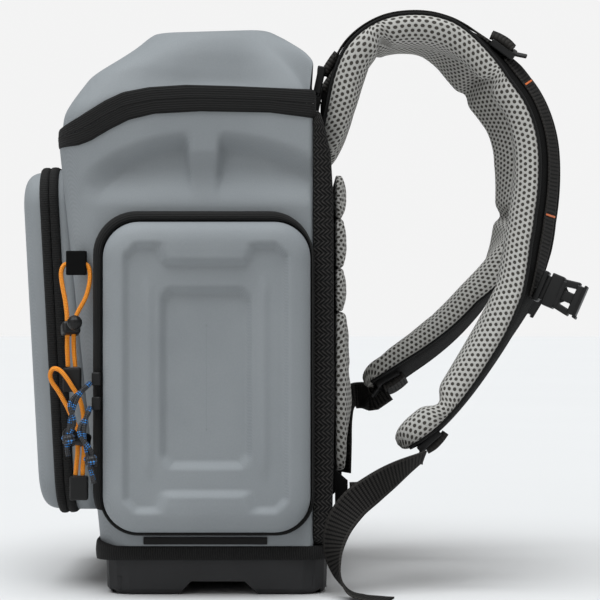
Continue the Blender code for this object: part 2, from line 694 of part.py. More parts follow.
def on_strap(stations, first, last, lift):
    """Ribbon frames that lie on the strap's outer face from one station to another."""
    frames = []
    for centre, tangent, width, normal in stations[first : last + 1]:
        frames.append((centre + normal * (STRAP_THICKNESS / 2 + lift), width, normal))
    return frames


def daisy_webbing(name, side):
    stations = strap_stations(name, side, 27)
    frames = on_strap(stations, 10, 20, WEBBING / 2 + 0.0008)
    ribbon(f"daisy_webbing_{name}", frames, WEBBING_WIDTH, WEBBING, black_webbing(), strap_hinge(side))


def lifter_webbing(name, side):
    """Load-lifter webbing from the yoke's lock over the strap's top to the lock on its front."""
    stations = strap_stations(name, side, 27)
    frames = on_strap(stations, 3, 8, WEBBING / 2 + 0.0008)
    ribbon(f"lifter_webbing_{name}", frames, WEBBING_WIDTH, WEBBING, black_webbing(), strap_hinge(side))


def frame_turn(x_axis, y_axis, z_axis):
    turn = Matrix.Identity(3)
    turn.col[0] = x_axis
    turn.col[1] = y_axis
    turn.col[2] = z_axis
    return turn.to_4x4()


def ladder_lock(name, centre, turn, pivot, window=True):
    """Ladder-lock buckle: local X along the webbing, Y across it, Z through it."""
    lock = block(name, centre, Vector((0.0230, 0.0340, 0.0060)), black_plastic(), pivot, turn, 0.0012)
    if not window:
        return
    cutters = []
    for number, along in enumerate((-0.0045, 0.0045)):
        at = centre + (turn @ Vector((along, 0.0, 0.0)))
        size = Vector((0.0055, 0.0268, 0.0200))
        cutters.append(block(f"{name}_slot_{number}", at, size, black_plastic(), pivot, turn))
    cut(lock, cutters)


def harness_locks(name, side):
    """The yoke's lock, fixed to the pack, and the two locks that hang on the strap."""
    stations = strap_stations(name, side, 27)
    pivot = strap_hinge(side)
    yoke_turn = Matrix.Rotation(math.radians(-78), 4, "Y")
    ladder_lock(f"yoke_lock_{name}", Vector((0.0885, side * 0.0785, 0.4305)), yoke_turn, Vector((0.0885, side * 0.0785, 0.4305)), False)
    centre, tangent, width, normal = stations[9]
    at = centre + normal * (STRAP_THICKNESS / 2 + 0.0046)
    ladder_lock(f"chest_lock_{name}", at, frame_turn(tangent, width, tangent.cross(width)), pivot)
    centre, tangent, width, normal = stations[-2]
    at = centre + normal * (STRAP_THICKNESS / 2 + 0.0048) + tangent * 0.004
    ladder_lock(f"lower_lock_{name}", at, frame_turn(tangent, width, tangent.cross(width)), pivot)


def lower_route(name, side):
    """Frames of the lower webbing: from the wing to the lock, round its bar and back down to the floor."""
    stations = strap_stations(name, side, 27)
    centre, tangent, width, normal = stations[-2]
    lock = centre + normal * (STRAP_THICKNESS / 2 + 0.0048) + tangent * 0.004

    def in_lock(along, out):
        return lock + tangent * along + normal * out

    upright = Vector((0.0, 0.0, 1.0))
    wing = Vector((STRAP_HINGE_FOOT.x + 0.0008, side * STRAP_HINGE_FOOT.y, STRAP_HINGE_FOOT.z))
    middle = wing.lerp(in_lock(0.020, 0.0090), 0.5) + Vector((0.0, side * 0.002, -0.004))
    feed = [
        (wing, upright),
        (wing + Vector((0.0100, 0.0, 0.0010)), upright),
        (middle, (upright + width).normalized()),
        (in_lock(0.0200, 0.0085), width),
        (in_lock(0.0125, 0.0062), width),
        (in_lock(0.0075, 0.0046), width),
        (in_lock(0.0045, 0.0012), width),
        (in_lock(0.0043, -0.0022), width),
    ]
    return feed


def ribbon_frames(feed):
    """Adds the normal to each (point, width direction) pair of a feed, after filling in a station between each two."""
    fine = []
    for (p, u), (q, v) in zip(feed, feed[1:]):
        for step in range(FEED_STEPS):
            share = step / FEED_STEPS
            fine.append((p.lerp(q, share), u.lerp(v, share).normalized()))
    fine.append(feed[-1])
    frames = []
    last = len(fine) - 1
    for i, (point, across) in enumerate(fine):
        along = (fine[min(i + 1, last)][0] - fine[max(i - 1, 0)][0]).normalized()
        across = (across - along * across.dot(along)).normalized()
        frames.append((point, across, along.cross(across)))
    return frames


def webbing_tail():
    """Free end of the near lower webbing: from the lock down past the base's corner onto the floor."""
    feed = [(Vector(point), Vector(across)) for point, across in TAIL_ROUTE]
    ribbon("webbing_tail_near", ribbon_frames(feed), WEBBING_WIDTH, WEBBING, black_webbing(), strap_hinge(NEAR))


def lower_webbing(name, side):
    frames = ribbon_frames(lower_route(name, side))
    ribbon(f"lower_webbing_{name}", frames, WEBBING_WIDTH, WEBBING, black_webbing(), strap_hinge(side))


def anchor_wing(name, side):
    """Sewn triangular wing that holds the lower webbing at the panel's lower corner."""
    outline = ((0.1012, 0.0560), (0.1012, 0.1020), (0.1118, 0.0930), (0.1118, 0.0650))
    rings = [[Vector((x, side * y, z)) for x, z in outline] for y in (0.1225, 0.1275)]
    loft(f"anchor_wing_{name}", rings, black_webbing())


def sternum_buckle(name, side):
    """Half of the chest strap's side-release buckle, on a sliding adjuster."""
    centre, tangent, width, normal = strap_stations(name, side, 27)[19]
    turn = frame_turn(normal, width, normal.cross(width))
    at = centre + normal * (STRAP_THICKNESS / 2 + WEBBING + 0.0012 + SIDE_RELEASE_LENGTH / 2)
    pivot = centre + normal * (STRAP_THICKNESS / 2)
    block(f"sternum_buckle_{name}", at, Vector((SIDE_RELEASE_LENGTH, 0.0110, 0.0280)), black_plastic(), pivot, turn, 0.002)


def cord(name, route, diameter, count, look, pivot=Vector()):
    """A free cord: a round tube on one open spline."""
    curve = bpy.data.curves.new(name, "CURVE")
    curve.dimensions = "3D"
    curve.bevel_depth = diameter / 2
    curve.bevel_resolution = 2
    curve.use_fill_caps = True
    curve.materials.append(look)
    spline = curve.splines.new("POLY")
    points = smooth_route(route, count)
    spline.points.add(count - 1)
    for slot, point in zip(spline.points, points):
        slot.co = (*(point - pivot), 1.0)
    piece = bpy.data.objects.new(name, curve)
    piece.location = pivot + ORIGIN_X
    bpy.context.collection.objects.link(piece)


def cord_lock(name, centre, axis):
    """Cord lock: a barrel with a slot for both strands and a sprung ball button on its end."""
    up = (Vector((0.0, 0.0, 1.0)) - axis * axis.z).normalized()
    turn = frame_turn(axis, up.cross(axis), up)
    barrel = block(f"cord_lock_{name}", centre, Vector((0.0120, 0.0150, 0.0110)), black_plastic(), centre, turn, 0.0025)
    slot = block(f"cord_lock_slot_{name}", centre, Vector((0.0104, 0.0056, 0.0400)), black_plastic(), centre)
    cut(barrel, [slot])
    mesh = bmesh.new()
    bmesh.ops.create_uvsphere(mesh, u_segments=12, v_segments=8, radius=0.0062)
    bmesh.ops.translate(mesh, vec=centre + axis * 0.0165, verts=mesh.verts)
    place(mesh, f"lock_button_{name}", black_plastic(), centre + axis * 0.0165)


def cord_end(name, centre):
    """Moulded clip that closes both ends of a rod cord."""
    block(f"cord_end_{name}", centre, Vector((0.0150, 0.0080, 0.0200)), black_plastic(), centre, Matrix(), 0.0015)


def cord_loop(name, centre):
    """Sewn webbing loop that holds a rod cord: a flat sleeve, open at both sides."""
    loop = block(f"cord_loop_{name}", centre, Vector((0.0166, 0.0084, 0.0200)), black_webbing(), centre, Matrix(), 0.001)
    cut(loop, [block(f"cord_loop_slot_{name}", centre, Vector((0.0400, 0.0060, 0.0110)), black_webbing(), centre)])


def rod_cords():
    cord("bungee_upper", BUNGEE_UPPER_ROUTE, BUNGEE, 60, orange_cord())
    cord("bungee_lower", BUNGEE_LOWER_ROUTE, BUNGEE, 60, orange_cord())
    cord_lock("upper", Vector((-0.1165, -0.1521, 0.2200)), LOCK_AXIS["upper"].normalized())
    cord_lock("lower", Vector((-0.1082, -0.1521, 0.1290)), LOCK_AXIS["lower"].normalized())
    cord_end("upper", Vector((-0.1152, -0.1508, 0.1780)))
    cord_end("lower", Vector((-0.1096, -0.1508, 0.0890)))
    cord_loop("upper", Vector((-0.1120, -0.1486, 0.2740)))
    cord("zip_pull_upper", PULL_UPPER_ROUTE, PARACORD, 24, blue_cord())
    cord("zip_pull_lower", PULL_LOWER_ROUTE, PARACORD, 24, blue_cord())


def clear_scene():
    for piece in list(bpy.data.objects):
        bpy.data.objects.remove(piece)


def main():
    clear_scene()
    base_tray()
    base_binding()
    main_shell()
    zip_strip("shell_zip_tape", lambda x: between(BAND_LOW, x), lambda x: band_middle(x) - RIM_GAP / 2)
    divider()
    rear_yoke()
    back_gusset()
    back_panel()
    back_pads()
    lid_shell()
    zip_strip("lid_zip_tape", lambda x: band_middle(x) + RIM_GAP / 2, lambda x: between(BAND_HIGH, x), HINGE_LINE)
    for name, side in SIDES.items():
        side_door(name, side)
        side_zip_frame(name, side)
        anchor_wing(name, side)
        strap_pad(name, side)
        daisy_webbing(name, side)
        lifter_webbing(name, side)
        harness_locks(name, side)
        lower_webbing(name, side)
        sternum_buckle(name, side)
    webbing_tail()
    front_frame()
    front_pocket()
    sliders()
    carry_handle()
    rod_cords()


main()
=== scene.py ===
"""Looks of the tackle backpack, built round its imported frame.

Metres, +Z up; the near side is -Y and the harness is at +X. Places are given from the
case's own datum, as in the part, and SHIFT moves them into the frame.
"""

import math

import bmesh
import bpy
import numpy as np
from mathutils import Matrix, Vector


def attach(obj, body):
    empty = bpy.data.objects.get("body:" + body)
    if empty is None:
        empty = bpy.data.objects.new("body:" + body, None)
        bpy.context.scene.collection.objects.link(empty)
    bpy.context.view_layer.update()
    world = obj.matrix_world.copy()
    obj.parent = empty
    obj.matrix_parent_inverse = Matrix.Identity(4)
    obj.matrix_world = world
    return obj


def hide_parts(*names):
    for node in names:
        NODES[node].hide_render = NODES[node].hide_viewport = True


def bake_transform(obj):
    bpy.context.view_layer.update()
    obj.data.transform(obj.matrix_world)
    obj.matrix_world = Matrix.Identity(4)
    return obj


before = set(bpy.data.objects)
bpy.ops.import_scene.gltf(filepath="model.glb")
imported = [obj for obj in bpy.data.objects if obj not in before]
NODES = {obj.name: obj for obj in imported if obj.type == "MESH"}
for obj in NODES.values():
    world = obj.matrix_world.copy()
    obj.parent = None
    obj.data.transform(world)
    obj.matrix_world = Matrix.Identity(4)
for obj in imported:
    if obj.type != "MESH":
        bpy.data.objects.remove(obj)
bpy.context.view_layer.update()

MM = 0.001


def mm(table):
    """A table given in millimetres."""
    return np.array(table) * MM


SHIFT = np.array((-0.0771, 0.0, 0.0))
NEAR, FAR = -1, 1
SIDES = {"near": NEAR, "far": FAR}

# The case. RIM_GAP parts case and lid behind the zip, and SEAM is half the gap between its tapes.
HALF_WIDTH = 0.146
CASE_REAR = 0.083
CASE_BOTTOM = 0.0335
CASE_TOP = 0.4
FRONT_RADIUS = 0.028
REAR_RADIUS = 0.005
WALL = 0.004
RIM_GAP = 0.0008
SEAM = 0.0001
HINGE_HEIGHT = 0.438
# The lower and the upper edge of the lid's zip, as (x, z) from front to rear.
BAND_LOW = mm((
    (-131, 369), (-111, 371), (-101, 374.5), (-85, 384), (-69, 392), (-48, 397), (-10, 399), (47, 398),
    (89, 392.5),
))
BAND_HIGH = mm((
    (-131, 384), (-110, 395), (-89, 408), (-74, 415), (-53, 419), (-22, 421), (16, 420), (85, 417),
))

# The pockets. DOOR and POCKET are boxes: low and high along the face, then low and high upwards.
DOOR = (-0.09, 0.081, 0.0525, 0.308)
DOOR_CORNER = 0.03
CORNER_CLOSING = 0.75  # how fast the corners of inner rings tighten, per metre inwards
POCKET_FOOT = np.array((-0.117, 0.0, 0.066))
POCKET_LEAN = math.radians(3.1)
POCKET = (-0.112, 0.112, 0.0, 0.288)
POCKET_CORNER = 0.03
POCKET_CORNER_CLOSING = 0.6
BAND_DEPTH = 0.0155

# The harness. Routes run from the yoke to the lower lock, as (x, z).
STRAP_WIDTH = 0.064
STRAP_THICKNESS = 0.026
WEBBING_WIDTH = 0.025
WEBBING = 0.0014
WEBBING_LIFT = 0.0012
NEAR_STRAP = mm((
    (103.5, 382), (105.5, 400), (111, 430), (122.5, 455), (145, 471), (172, 475), (196, 470),
    (222, 456), (248, 436), (268, 412), (279, 382), (281, 348), (277, 312), (268, 281), (256, 250),
    (240, 220), (223, 193), (205, 168), (187, 148), (168, 134),
))
FAR_STRAP = np.vstack([NEAR_STRAP[:11], mm((
    (279, 348), (273, 318), (263, 290), (249, 266), (231, 244), (211, 224), (189, 207), (166, 193),
    (146, 182),
))])
STRAP_ROUTES = {"near": NEAR_STRAP, "far": FAR_STRAP}
# By share of a strap's length: its twist in degrees, how thick it stays, and its shifts along X and Z.
STRAP_TURN = {
    "near": ((0.0, 0.0), (0.28, 2.0), (0.4, 24.0), (0.66, 26.0), (0.8, 10.0), (1.0, 6.0)),
    "far": (
        (0.0, 0.0), (0.28, 8.0), (0.4, 48.0), (0.54, 54.0), (0.66, 20.0), (0.8, -12.0), (1.0, -20.0),
    ),
}
STRAP_THINNING = {
    "near": ((0.0, 1.0), (1.0, 1.0)), "far": ((0.0, 1.0), (0.6, 1.0), (0.8, 0.84), (1.0, 0.82)),
}
STRAP_SHIFT_X = {
    "near": ((0.0, 0.0), (0.3, 0.0), (0.42, -0.007), (0.62, -0.007), (0.74, 0.0), (1.0, 0.0)),
    "far": ((0.0, 0.0), (0.34, 0.0), (0.46, 0.004), (0.6, 0.002), (0.72, 0.0), (1.0, 0.0)),
}
STRAP_RAISE = {
    "near": ((0.0, 0.0), (1.0, 0.0)),
    "far": (
        (0.0, 0.0), (0.08, 0.0), (0.2, 0.015), (0.32, 0.015), (0.44, 0.004), (0.55, 0.0),
        (0.8, 0.0), (1.0, -0.005),
    ),
}
# How far a pad runs past its lower lock, which way it curls there, and how its root meets the yoke.
STRAP_BEYOND = 0.019
STRAP_DROOP = np.array((-0.62, 0.0, -0.78))
STRAP_ROOT = np.array((-0.0075, 0.0, -0.0165))
STRAP_SPREAD = ((0.0, 0.0785), (0.3, 0.08), (0.6, 0.088), (1.0, 0.096))
STRAP_FOOT = (0.113, 0.125, 0.079)

# Middle lines of the cords.
BUNGEE_UPPER_ROUTE = mm((
    (-118.6, -150.8, 188.5), (-119, -151.2, 196), (-119.3, -151.6, 206), (-119.1, -152, 216),
    (-119.2, -152.2, 224), (-119.7, -151.4, 233), (-121.2, -150.4, 244), (-123.4, -149.6, 255),
    (-124.6, -149, 265), (-122.8, -148.7, 271.6), (-118, -148.6, 273.6), (-112, -148.6, 274),
    (-106, -148.7, 273.6), (-101.8, -149.4, 270), (-100.8, -150.6, 260), (-104, -151.6, 246),
    (-110.2, -152.4, 234), (-113.8, -152.6, 224), (-113.9, -152.2, 216), (-113.9, -151.6, 206),
    (-113.4, -151.2, 196), (-112.7, -150.8, 188.5),
))
BUNGEE_LOWER_ROUTE = mm((
    (-112.5, -150.8, 99.5), (-111.8, -151.2, 108), (-110.8, -151.8, 118), (-110.6, -152.1, 128),
    (-111.2, -152.3, 137), (-115, -152, 146), (-119.5, -152, 156), (-126.2, -152.4, 168),
    (-131.8, -152.6, 176.5), (-133, -153.5, 182.8), (-130, -156.5, 187.2), (-124.5, -159, 186),
    (-119, -160, 180), (-114, -159, 172), (-108.5, -156.5, 162), (-106, -154, 150),
    (-105.7, -152.5, 138), (-105.6, -152.1, 128), (-105.6, -151.8, 118), (-106.4, -151.2, 108),
    (-106.7, -150.8, 99.5),
))
PULL_UPPER_ROUTE = mm((
    (-99, -166.5, 176), (-101.5, -170, 173.5), (-105, -173.5, 169.5), (-108.8, -175.5, 163.5),
    (-111.6, -176.4, 156), (-113.5, -176.7, 148), (-114.8, -176.7, 140), (-116, -176.6, 132),
    (-116.5, -176.5, 124), (-115.5, -176.4, 117),
))
PULL_LOWER_ROUTE = mm((
    (-99, -166.5, 156), (-100.5, -170.5, 152), (-102, -174, 145.5), (-103, -176, 138),
    (-102.8, -176.7, 131), (-101.2, -176.9, 124), (-99.5, -176.8, 117), (-98, -176.6, 109),
    (-96.2, -176.4, 101), (-95, -176.2, 95),
))

# The free tail: places, each with the direction of its width.
TAIL_ROUTE = (
    ((0.176, -0.1245, 0.113), (0.1, 0.9, -0.3)), ((0.163, -0.129, 0.106), (0.2, 0.8, -0.5)),
    ((0.149, -0.135, 0.098), (0.35, 0.6, -0.7)), ((0.133, -0.143, 0.088), (0.5, 0.3, -0.8)),
    ((0.116, -0.149, 0.075), (0.72, -0.1, -0.65)),
    ((0.104, -0.153, 0.058), (0.8, -0.5, -0.32)),
    ((0.0995, -0.156, 0.04), (0.62, -0.78, -0.05)), ((0.1015, -0.16, 0.024), (0.3, -0.92, 0.2)),
    ((0.108, -0.166, 0.011), (-0.15, -0.9, 0.35)),
    ((0.118, -0.1725, 0.004), (-0.5, -0.8, 0.12)),
    ((0.131, -0.1785, 0.002), (-0.55, -0.83, 0.0)),
    ((0.145, -0.183, 0.0018), (-0.45, -0.89, 0.0)),
)


# ---------------------------------------------------------------- small mathematics


def smoothstep(value):
    """0 up to 0, 1 from 1 on, and a smooth rise between them."""
    value = np.clip(value, 0.0, 1.0)
    return value * value * (3 - 2 * value)


def between(table, value):
    """The value's entry in a table of (from, to) pairs, read off straight lines."""
    table = np.array(table)
    return np.interp(value, table[:, 0], table[:, 1])


def unit(vectors):
    return vectors / np.linalg.norm(vectors, axis=-1, keepdims=True)


def distances(line):
    """How far along the line each of its points lies."""
    return np.concatenate([[0.0], np.cumsum(np.linalg.norm(np.diff(line, axis=0), axis=1))])


def joined(*parts):
    """Points, or columns, from separate coordinates, of which some may be single numbers."""
    return np.stack(np.broadcast_arrays(*parts), axis=-1)


def smooth(points, count, dense=12):
    """Points at equal steps along a Catmull-Rom curve through the given ones."""
    route = np.array(points, float)
    ends = np.vstack([2 * route[0] - route[1], route, 2 * route[-1] - route[-2]])
    t = (np.arange(dense) / dense)[None, :, None]
    a, b, c, d = (ends[i : len(route) - 1 + i, None, :] for i in range(4))
    fine = 0.5 * (
        2 * b + (c - a) * t + (2 * a - 5 * b + 4 * c - d) * t * t + (3 * b - a - 3 * c + d) * t**3
    )
    fine = np.vstack([fine.reshape(-1, route.shape[1]), route[-1]])
    lengths = distances(fine)
    at = np.linspace(0, lengths[-1], count)
    return joined(*(np.interp(at, lengths, column) for column in fine.T))


def front_x(z):
    """Where the leaning front of the case stands at a height."""
    foot_x, foot_z, lean = -0.096, 0.053, 0.0977
    return foot_x - (z - foot_z) * lean


def band_middle(x):
    """The height of the lid's zip line at a place along the case."""
    return (between(BAND_LOW, x) + between(BAND_HIGH, x)) / 2


# ---------------------------------------------------------------- materials


class Weave:
    """Short ways to wire the nodes of one material."""

    def __init__(self, name, colour, roughness, specular=0.5):
        self.material = bpy.data.materials.new(name)
        self.material.use_nodes = True
        self.nodes = self.material.node_tree.nodes
        self.links = self.material.node_tree.links
        self.shader = self.nodes["Principled BSDF"]
        self.shader.inputs["Base Color"].default_value = (*colour, 1.0)
        self.shader.inputs["Roughness"].default_value = roughness
        self.shader.inputs["Specular IOR Level"].default_value = specular
        self.coordinates = self.nodes.new("ShaderNodeTexCoord")

    def node(self, kind, inputs, **options):
        """A new node with the given options, and its inputs linked or set."""
        made = self.nodes.new(f"ShaderNode{kind}")
        for name, option in options.items():
            setattr(made, name, option)
        for key, value in inputs.items():
            if isinstance(value, bpy.types.NodeSocket):
                self.links.new(value, made.inputs[key])
            else:
                made.inputs[key].default_value = value
        return made.outputs

    def math(self, operation, a, b=0.0, clamp=False):
        return self.node("Math", {0: a, 1: b}, operation=operation, use_clamp=clamp)[0]

    def add(self, a, b, clamp=False):
        return self.math("ADD", a, b, clamp)

    def times(self, a, b):
        return self.math("MULTIPLY", a, b)

    def split(self, source):
        return self.node("SeparateXYZ", {0: self.coordinates.outputs[source]})

    def wave(self, value, period, phase=0.0):
        """A sine of the value, from -1 to 1."""
        turned = self.times(value, 2 * math.pi / period)
        return self.math("SINE", self.add(turned, phase))

    def ramp(self, value, low, high):
        """The value turned smoothly from 0 at low to 1 at high."""
        inputs = {"Value": value, "From Min": low, "From Max": high}
        return self.node("MapRange", inputs, interpolation_type="SMOOTHSTEP")["Result"]

    def noise(self, scale, detail=2.0):
        """Soft random patches from 0 to 1, fixed to the object."""
        inputs = {"Scale": scale, "Detail": detail, "Vector": self.coordinates.outputs["Object"]}
        return self.node("TexNoise", inputs)["Fac"]

    def mix(self, factor, low, high):
        """A colour between two, each a colour's output or three numbers."""
        ends = [(*end, 1.0) if isinstance(end, tuple) else end for end in (low, high)]
        return self.node("Mix", {0: factor, 6: ends[0], 7: ends[1]}, data_type="RGBA")[2]

    def colour(self, value):
        self.links.new(value, self.shader.inputs["Base Color"])

    def rough(self, value):
        self.links.new(value, self.shader.inputs["Roughness"])

    def bump(self, height, distance, strength=1.0, bevel=0.0):
        """Relief from a height; a bevel also rounds the edges it meets."""
        inputs = {"Strength": strength, "Distance": distance, "Height": height}
        if bevel:
            inputs["Normal"] = self.node("Bevel", {"Radius": bevel})[0]
        self.links.new(self.node("Bump", inputs)["Normal"], self.shader.inputs["Normal"])

    def sheen(self, weight, roughness, tint):
        self.shader.inputs["Sheen Weight"].default_value = weight
        self.shader.inputs["Sheen Roughness"].default_value = roughness
        self.shader.inputs["Sheen Tint"].default_value = (*tint, 1.0)


def case_cloth():
    """Moulded foam faced with fine diagonal twill."""
    m = Weave("case_cloth", (0.25, 0.27, 0.285), 0.7, specular=0.3)
    x, y, z = m.split("Object")
    across = m.add(m.add(x, y), z)
    back = m.math("SUBTRACT", m.add(x, y), z)
    twill = m.times(m.wave(across, 0.0013), m.wave(back, 0.0026))
    threads = m.add(m.times(twill, 0.5), 0.5, True)
    broad = m.noise(9.0, 3.0)
    fine = m.noise(700.0, 2.0)
    base = m.mix(m.ramp(broad, 0.35, 0.65), (0.226, 0.244, 0.256), (0.256, 0.275, 0.287))
    worn = m.mix(m.times(threads, 0.3), base, (0.36, 0.385, 0.4))
    m.colour(m.mix(m.times(fine, 0.22), worn, (0.14, 0.155, 0.17)))
    m.rough(m.add(m.times(threads, -0.1), 0.68))
    m.bump(m.add(threads, m.times(fine, 0.8)), 0.00022, 0.55)
    m.sheen(0.1, 0.5, (0.85, 0.92, 1.0))
    return m.material


def lining_cloth():
    """Plain black weave of the inside."""
    m = Weave("lining_cloth", (0.014, 0.014, 0.015), 0.8, specular=0.25)
    x, y, z = m.split("Object")
    weave = m.times(m.wave(m.add(x, y), 0.0012), m.wave(m.add(y, z), 0.0012))
    m.colour(m.mix(m.ramp(weave, -0.6, 0.9), (0.008, 0.008, 0.009), (0.022, 0.022, 0.024)))
    m.bump(weave, 0.0002, 0.5)
    return m.material


def zip_tape():
    """Knitted zip tape: fine ribs along its length, with stitch lines."""
    m = Weave("zip_tape", (0.012, 0.012, 0.012), 0.8, specular=0.25)
    u, v, _ = m.split("UV")
    ribs = m.wave(v, 0.0019)
    knit = m.times(m.wave(u, 0.0011), m.wave(v, 0.0008))
    height = m.add(m.times(ribs, 0.7), m.times(knit, 0.5))
    m.colour(m.mix(m.ramp(height, -0.9, 1.2), (0.004, 0.004, 0.004), (0.017, 0.0165, 0.016)))
    m.bump(height, 0.00032, 0.7)
    m.sheen(0.03, 0.4, (1.0, 1.0, 1.0))
    return m.material


def webbing_cloth():
    """Woven webbing with cross ribs and firm edges."""
    m = Weave("webbing_cloth", (0.014, 0.013, 0.013), 0.7, specular=0.12)
    u, v, _ = m.split("UV")
    ribs = m.math("POWER", m.math("ABSOLUTE", m.wave(u, 0.0066)), 0.6)
    cords = m.wave(v, 0.0016)
    edge = m.ramp(m.math("ABSOLUTE", v), WEBBING_WIDTH / 2 - 0.003, WEBBING_WIDTH / 2 - 0.0018)
    height = m.add(ribs, m.times(cords, 0.18))
    height = m.add(height, m.times(edge, 0.8))
    m.colour(m.mix(m.ramp(height, 0.3, 1.3), (0.0015, 0.0015, 0.0015), (0.03, 0.028, 0.026)))
    m.bump(height, 0.00065, 1.0)
    return m.material


def holes(m, u, v, pitch):
    """A hexagonal field of round holes: high inside a hole."""
    half = m.times(u, 0.5)
    rise = m.times(v, 0.866)
    third = math.pi / 2
    first = m.wave(u, pitch, third)
    second = m.wave(m.add(half, rise), pitch, third)
    last = m.wave(m.math("SUBTRACT", half, rise), pitch, third)
    return m.add(m.add(first, second), last)


def air_mesh(name, pitch, thread, hole_shade, deep, sheen):
    """Spacer mesh: an open knitted face over a core, with painted shade as the colour in its holes."""
    m = Weave(name, thread, 0.8, specular=0.1)
    u, v, _ = m.split("UV")
    field = holes(m, v, u, pitch)
    open_hole = m.ramp(field, -0.25, 0.95)
    strand = m.wave(m.add(u, v), pitch / 7)
    fibre = m.times(m.add(strand, 1.0), 0.5)
    cloth = m.mix(m.times(fibre, 0.35), thread, tuple(c * 0.72 for c in thread))
    cloth = m.mix(m.times(m.noise(14.0, 2.0), 0.25), cloth, tuple(c * 0.8 for c in thread))
    # The holes are painted darker than the thread: painted shade in the recessed holes.
    m.colour(m.mix(open_hole, cloth, hole_shade))
    m.bump(m.math("SUBTRACT", m.times(fibre, 0.12), open_hole), deep, 0.9)
    m.sheen(sheen, 0.5, (1.0, 1.0, 1.0))
    return m.material


def chevron_knit():
    """Black spacer knit: columns of small chevrons."""
    m = Weave("black_chevron_knit", (0.01, 0.01, 0.01), 0.85, specular=0.2)
    u, v, _ = m.split("UV")
    column = 0.0095
    fold = m.math("PINGPONG", v, column / 2)
    chevrons = m.wave(m.add(u, m.times(fold, 1.1)), 0.0036)
    valley = m.wave(v, column / 2)
    height = m.add(chevrons, m.times(valley, 0.35))
    m.colour(m.mix(m.ramp(height, -0.4, 1.3), (0.002, 0.002, 0.002), (0.036, 0.034, 0.032)))
    m.bump(height, 0.0005, 0.8)
    m.sheen(0.02, 0.4, (1.0, 1.0, 1.0))
    return m.material


def moulded_plastic(name, colour, roughness, bevel):
    """Fine-grained moulded plastic with softened edges."""
    m = Weave(name, colour, roughness, specular=0.3)
    grain = m.noise(900.0, 3.0)
    broad = m.noise(30.0, 2.0)
    bright = tuple(c * 1.7 + 0.004 for c in colour)
    m.colour(m.mix(m.times(broad, 0.5), colour, bright))
    m.rough(m.add(m.times(grain, 0.25), roughness - 0.12))
    m.bump(grain, 0.00012, 0.5, bevel)
    return m.material


def braid(name, low, high, fleck, pitch, around):
    """Braided cord: crossing strands along u, with v going once round."""
    m = Weave(name, low, 0.55)
    u, v, _ = m.split("UV")
    turn = m.times(v, around * 2 * math.pi)
    along = m.times(u, 2 * math.pi / pitch)
    left = m.math("SINE", m.add(along, turn))
    right = m.math("SINE", m.math("SUBTRACT", along, turn))
    strands = m.times(left, right)
    colour = m.mix(m.ramp(strands, -0.7, 0.7), low, high)
    if fleck:
        patch = m.times(m.ramp(m.wave(u, pitch * 3.2), 0.2, 0.5), m.ramp(strands, 0.0, 0.4))
        colour = m.mix(patch, colour, fleck)
    m.colour(colour)
    m.bump(strands, 0.0004, 0.8)
    m.sheen(0.06, 0.4, (1.0, 0.9, 0.8))
    return m.material


def stitch_thread():
    """Bright twisted sewing thread."""
    m = Weave("stitch_thread", (0.8, 0.16, 0.03), 0.5)
    u, v, _ = m.split("UV")
    m.bump(m.wave(m.add(u, v), 0.0007), 0.0002, 0.8)
    m.colour(m.mix(m.noise(900.0), (0.55, 0.09, 0.02), (0.95, 0.25, 0.05)))
    return m.material


LOOKS = {
    "case": case_cloth(),
    "lining": lining_cloth(),
    "tape": zip_tape(),
    "webbing": webbing_cloth(),
    "mesh": air_mesh("grey_air_mesh", 0.0042, (0.57, 0.56, 0.53), (0.07, 0.064, 0.056), 0.001, 0.1),
    "spacer": chevron_knit(),
    "panel": air_mesh(
        "black_panel_mesh", 0.0022, (0.0075, 0.0072, 0.007), (0.003, 0.003, 0.003), 0.0003, 0.0,
    ),
    "plastic": moulded_plastic("black_hardware", (0.005, 0.005, 0.005), 0.42, 0.0008),
    "tray": moulded_plastic("black_tray", (0.02, 0.02, 0.021), 0.6, 0.0016),
    "bungee": braid("orange_braid", (0.86, 0.2, 0.003), (1.0, 0.4, 0.01), None, 0.0026, 4),
    "paracord": braid(
        "dark_braid", (0.006, 0.006, 0.007), (0.03, 0.032, 0.038), (0.02, 0.22, 0.62), 0.0036, 3,
    ),
    "thread": stitch_thread(),
}


# ---------------------------------------------------------------- making meshes


def build(name, points, faces, look, uv=None):
    """A mesh object from datum points, faces and, if given, one (u, v) for each corner of each face."""
    mesh = bpy.data.meshes.new(name)
    mesh.from_pydata(
        (np.asarray(points).reshape(-1, 3) + SHIFT).tolist(), [], [list(map(int, f)) for f in faces]
    )
    if uv is not None:
        layer = mesh.uv_layers.new(name="weave")
        layer.data.foreach_set("uv", np.asarray(uv, np.float32).ravel())
    mesh.materials.append(LOOKS[look])
    shaped = bmesh.new()
    shaped.from_mesh(mesh)
    bmesh.ops.recalc_face_normals(shaped, faces=shaped.faces)
    shaped.to_mesh(mesh)
    shaped.free()
    mesh.shade_smooth()
    piece = bpy.data.objects.new(name, mesh)
    bpy.context.scene.collection.objects.link(piece)
    return piece


def place(piece, body, node=None):
    """Lets a piece ride a body and, where a node is named, stand in for it."""
    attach(piece, body)
    if node:
        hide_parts(node)
    return piece


def quads(rows, cols, around):
    """Faces of a grid of rows and columns, and the same faces on a grid with one more column for uv."""
    span = cols if around else cols - 1
    i, j = np.meshgrid(np.arange(rows - 1), np.arange(span), indexing="ij")
    k = (j + 1) % cols
    below = (i + 1) * cols
    faces = joined(i * cols + j, i * cols + k, below + k, below + j).reshape(-1, 4)
    wide = cols + 1 if around else cols
    first, below = i * wide + j, (i + 1) * wide + j
    return faces, joined(first, first + 1, below + 1, below).reshape(-1, 4)


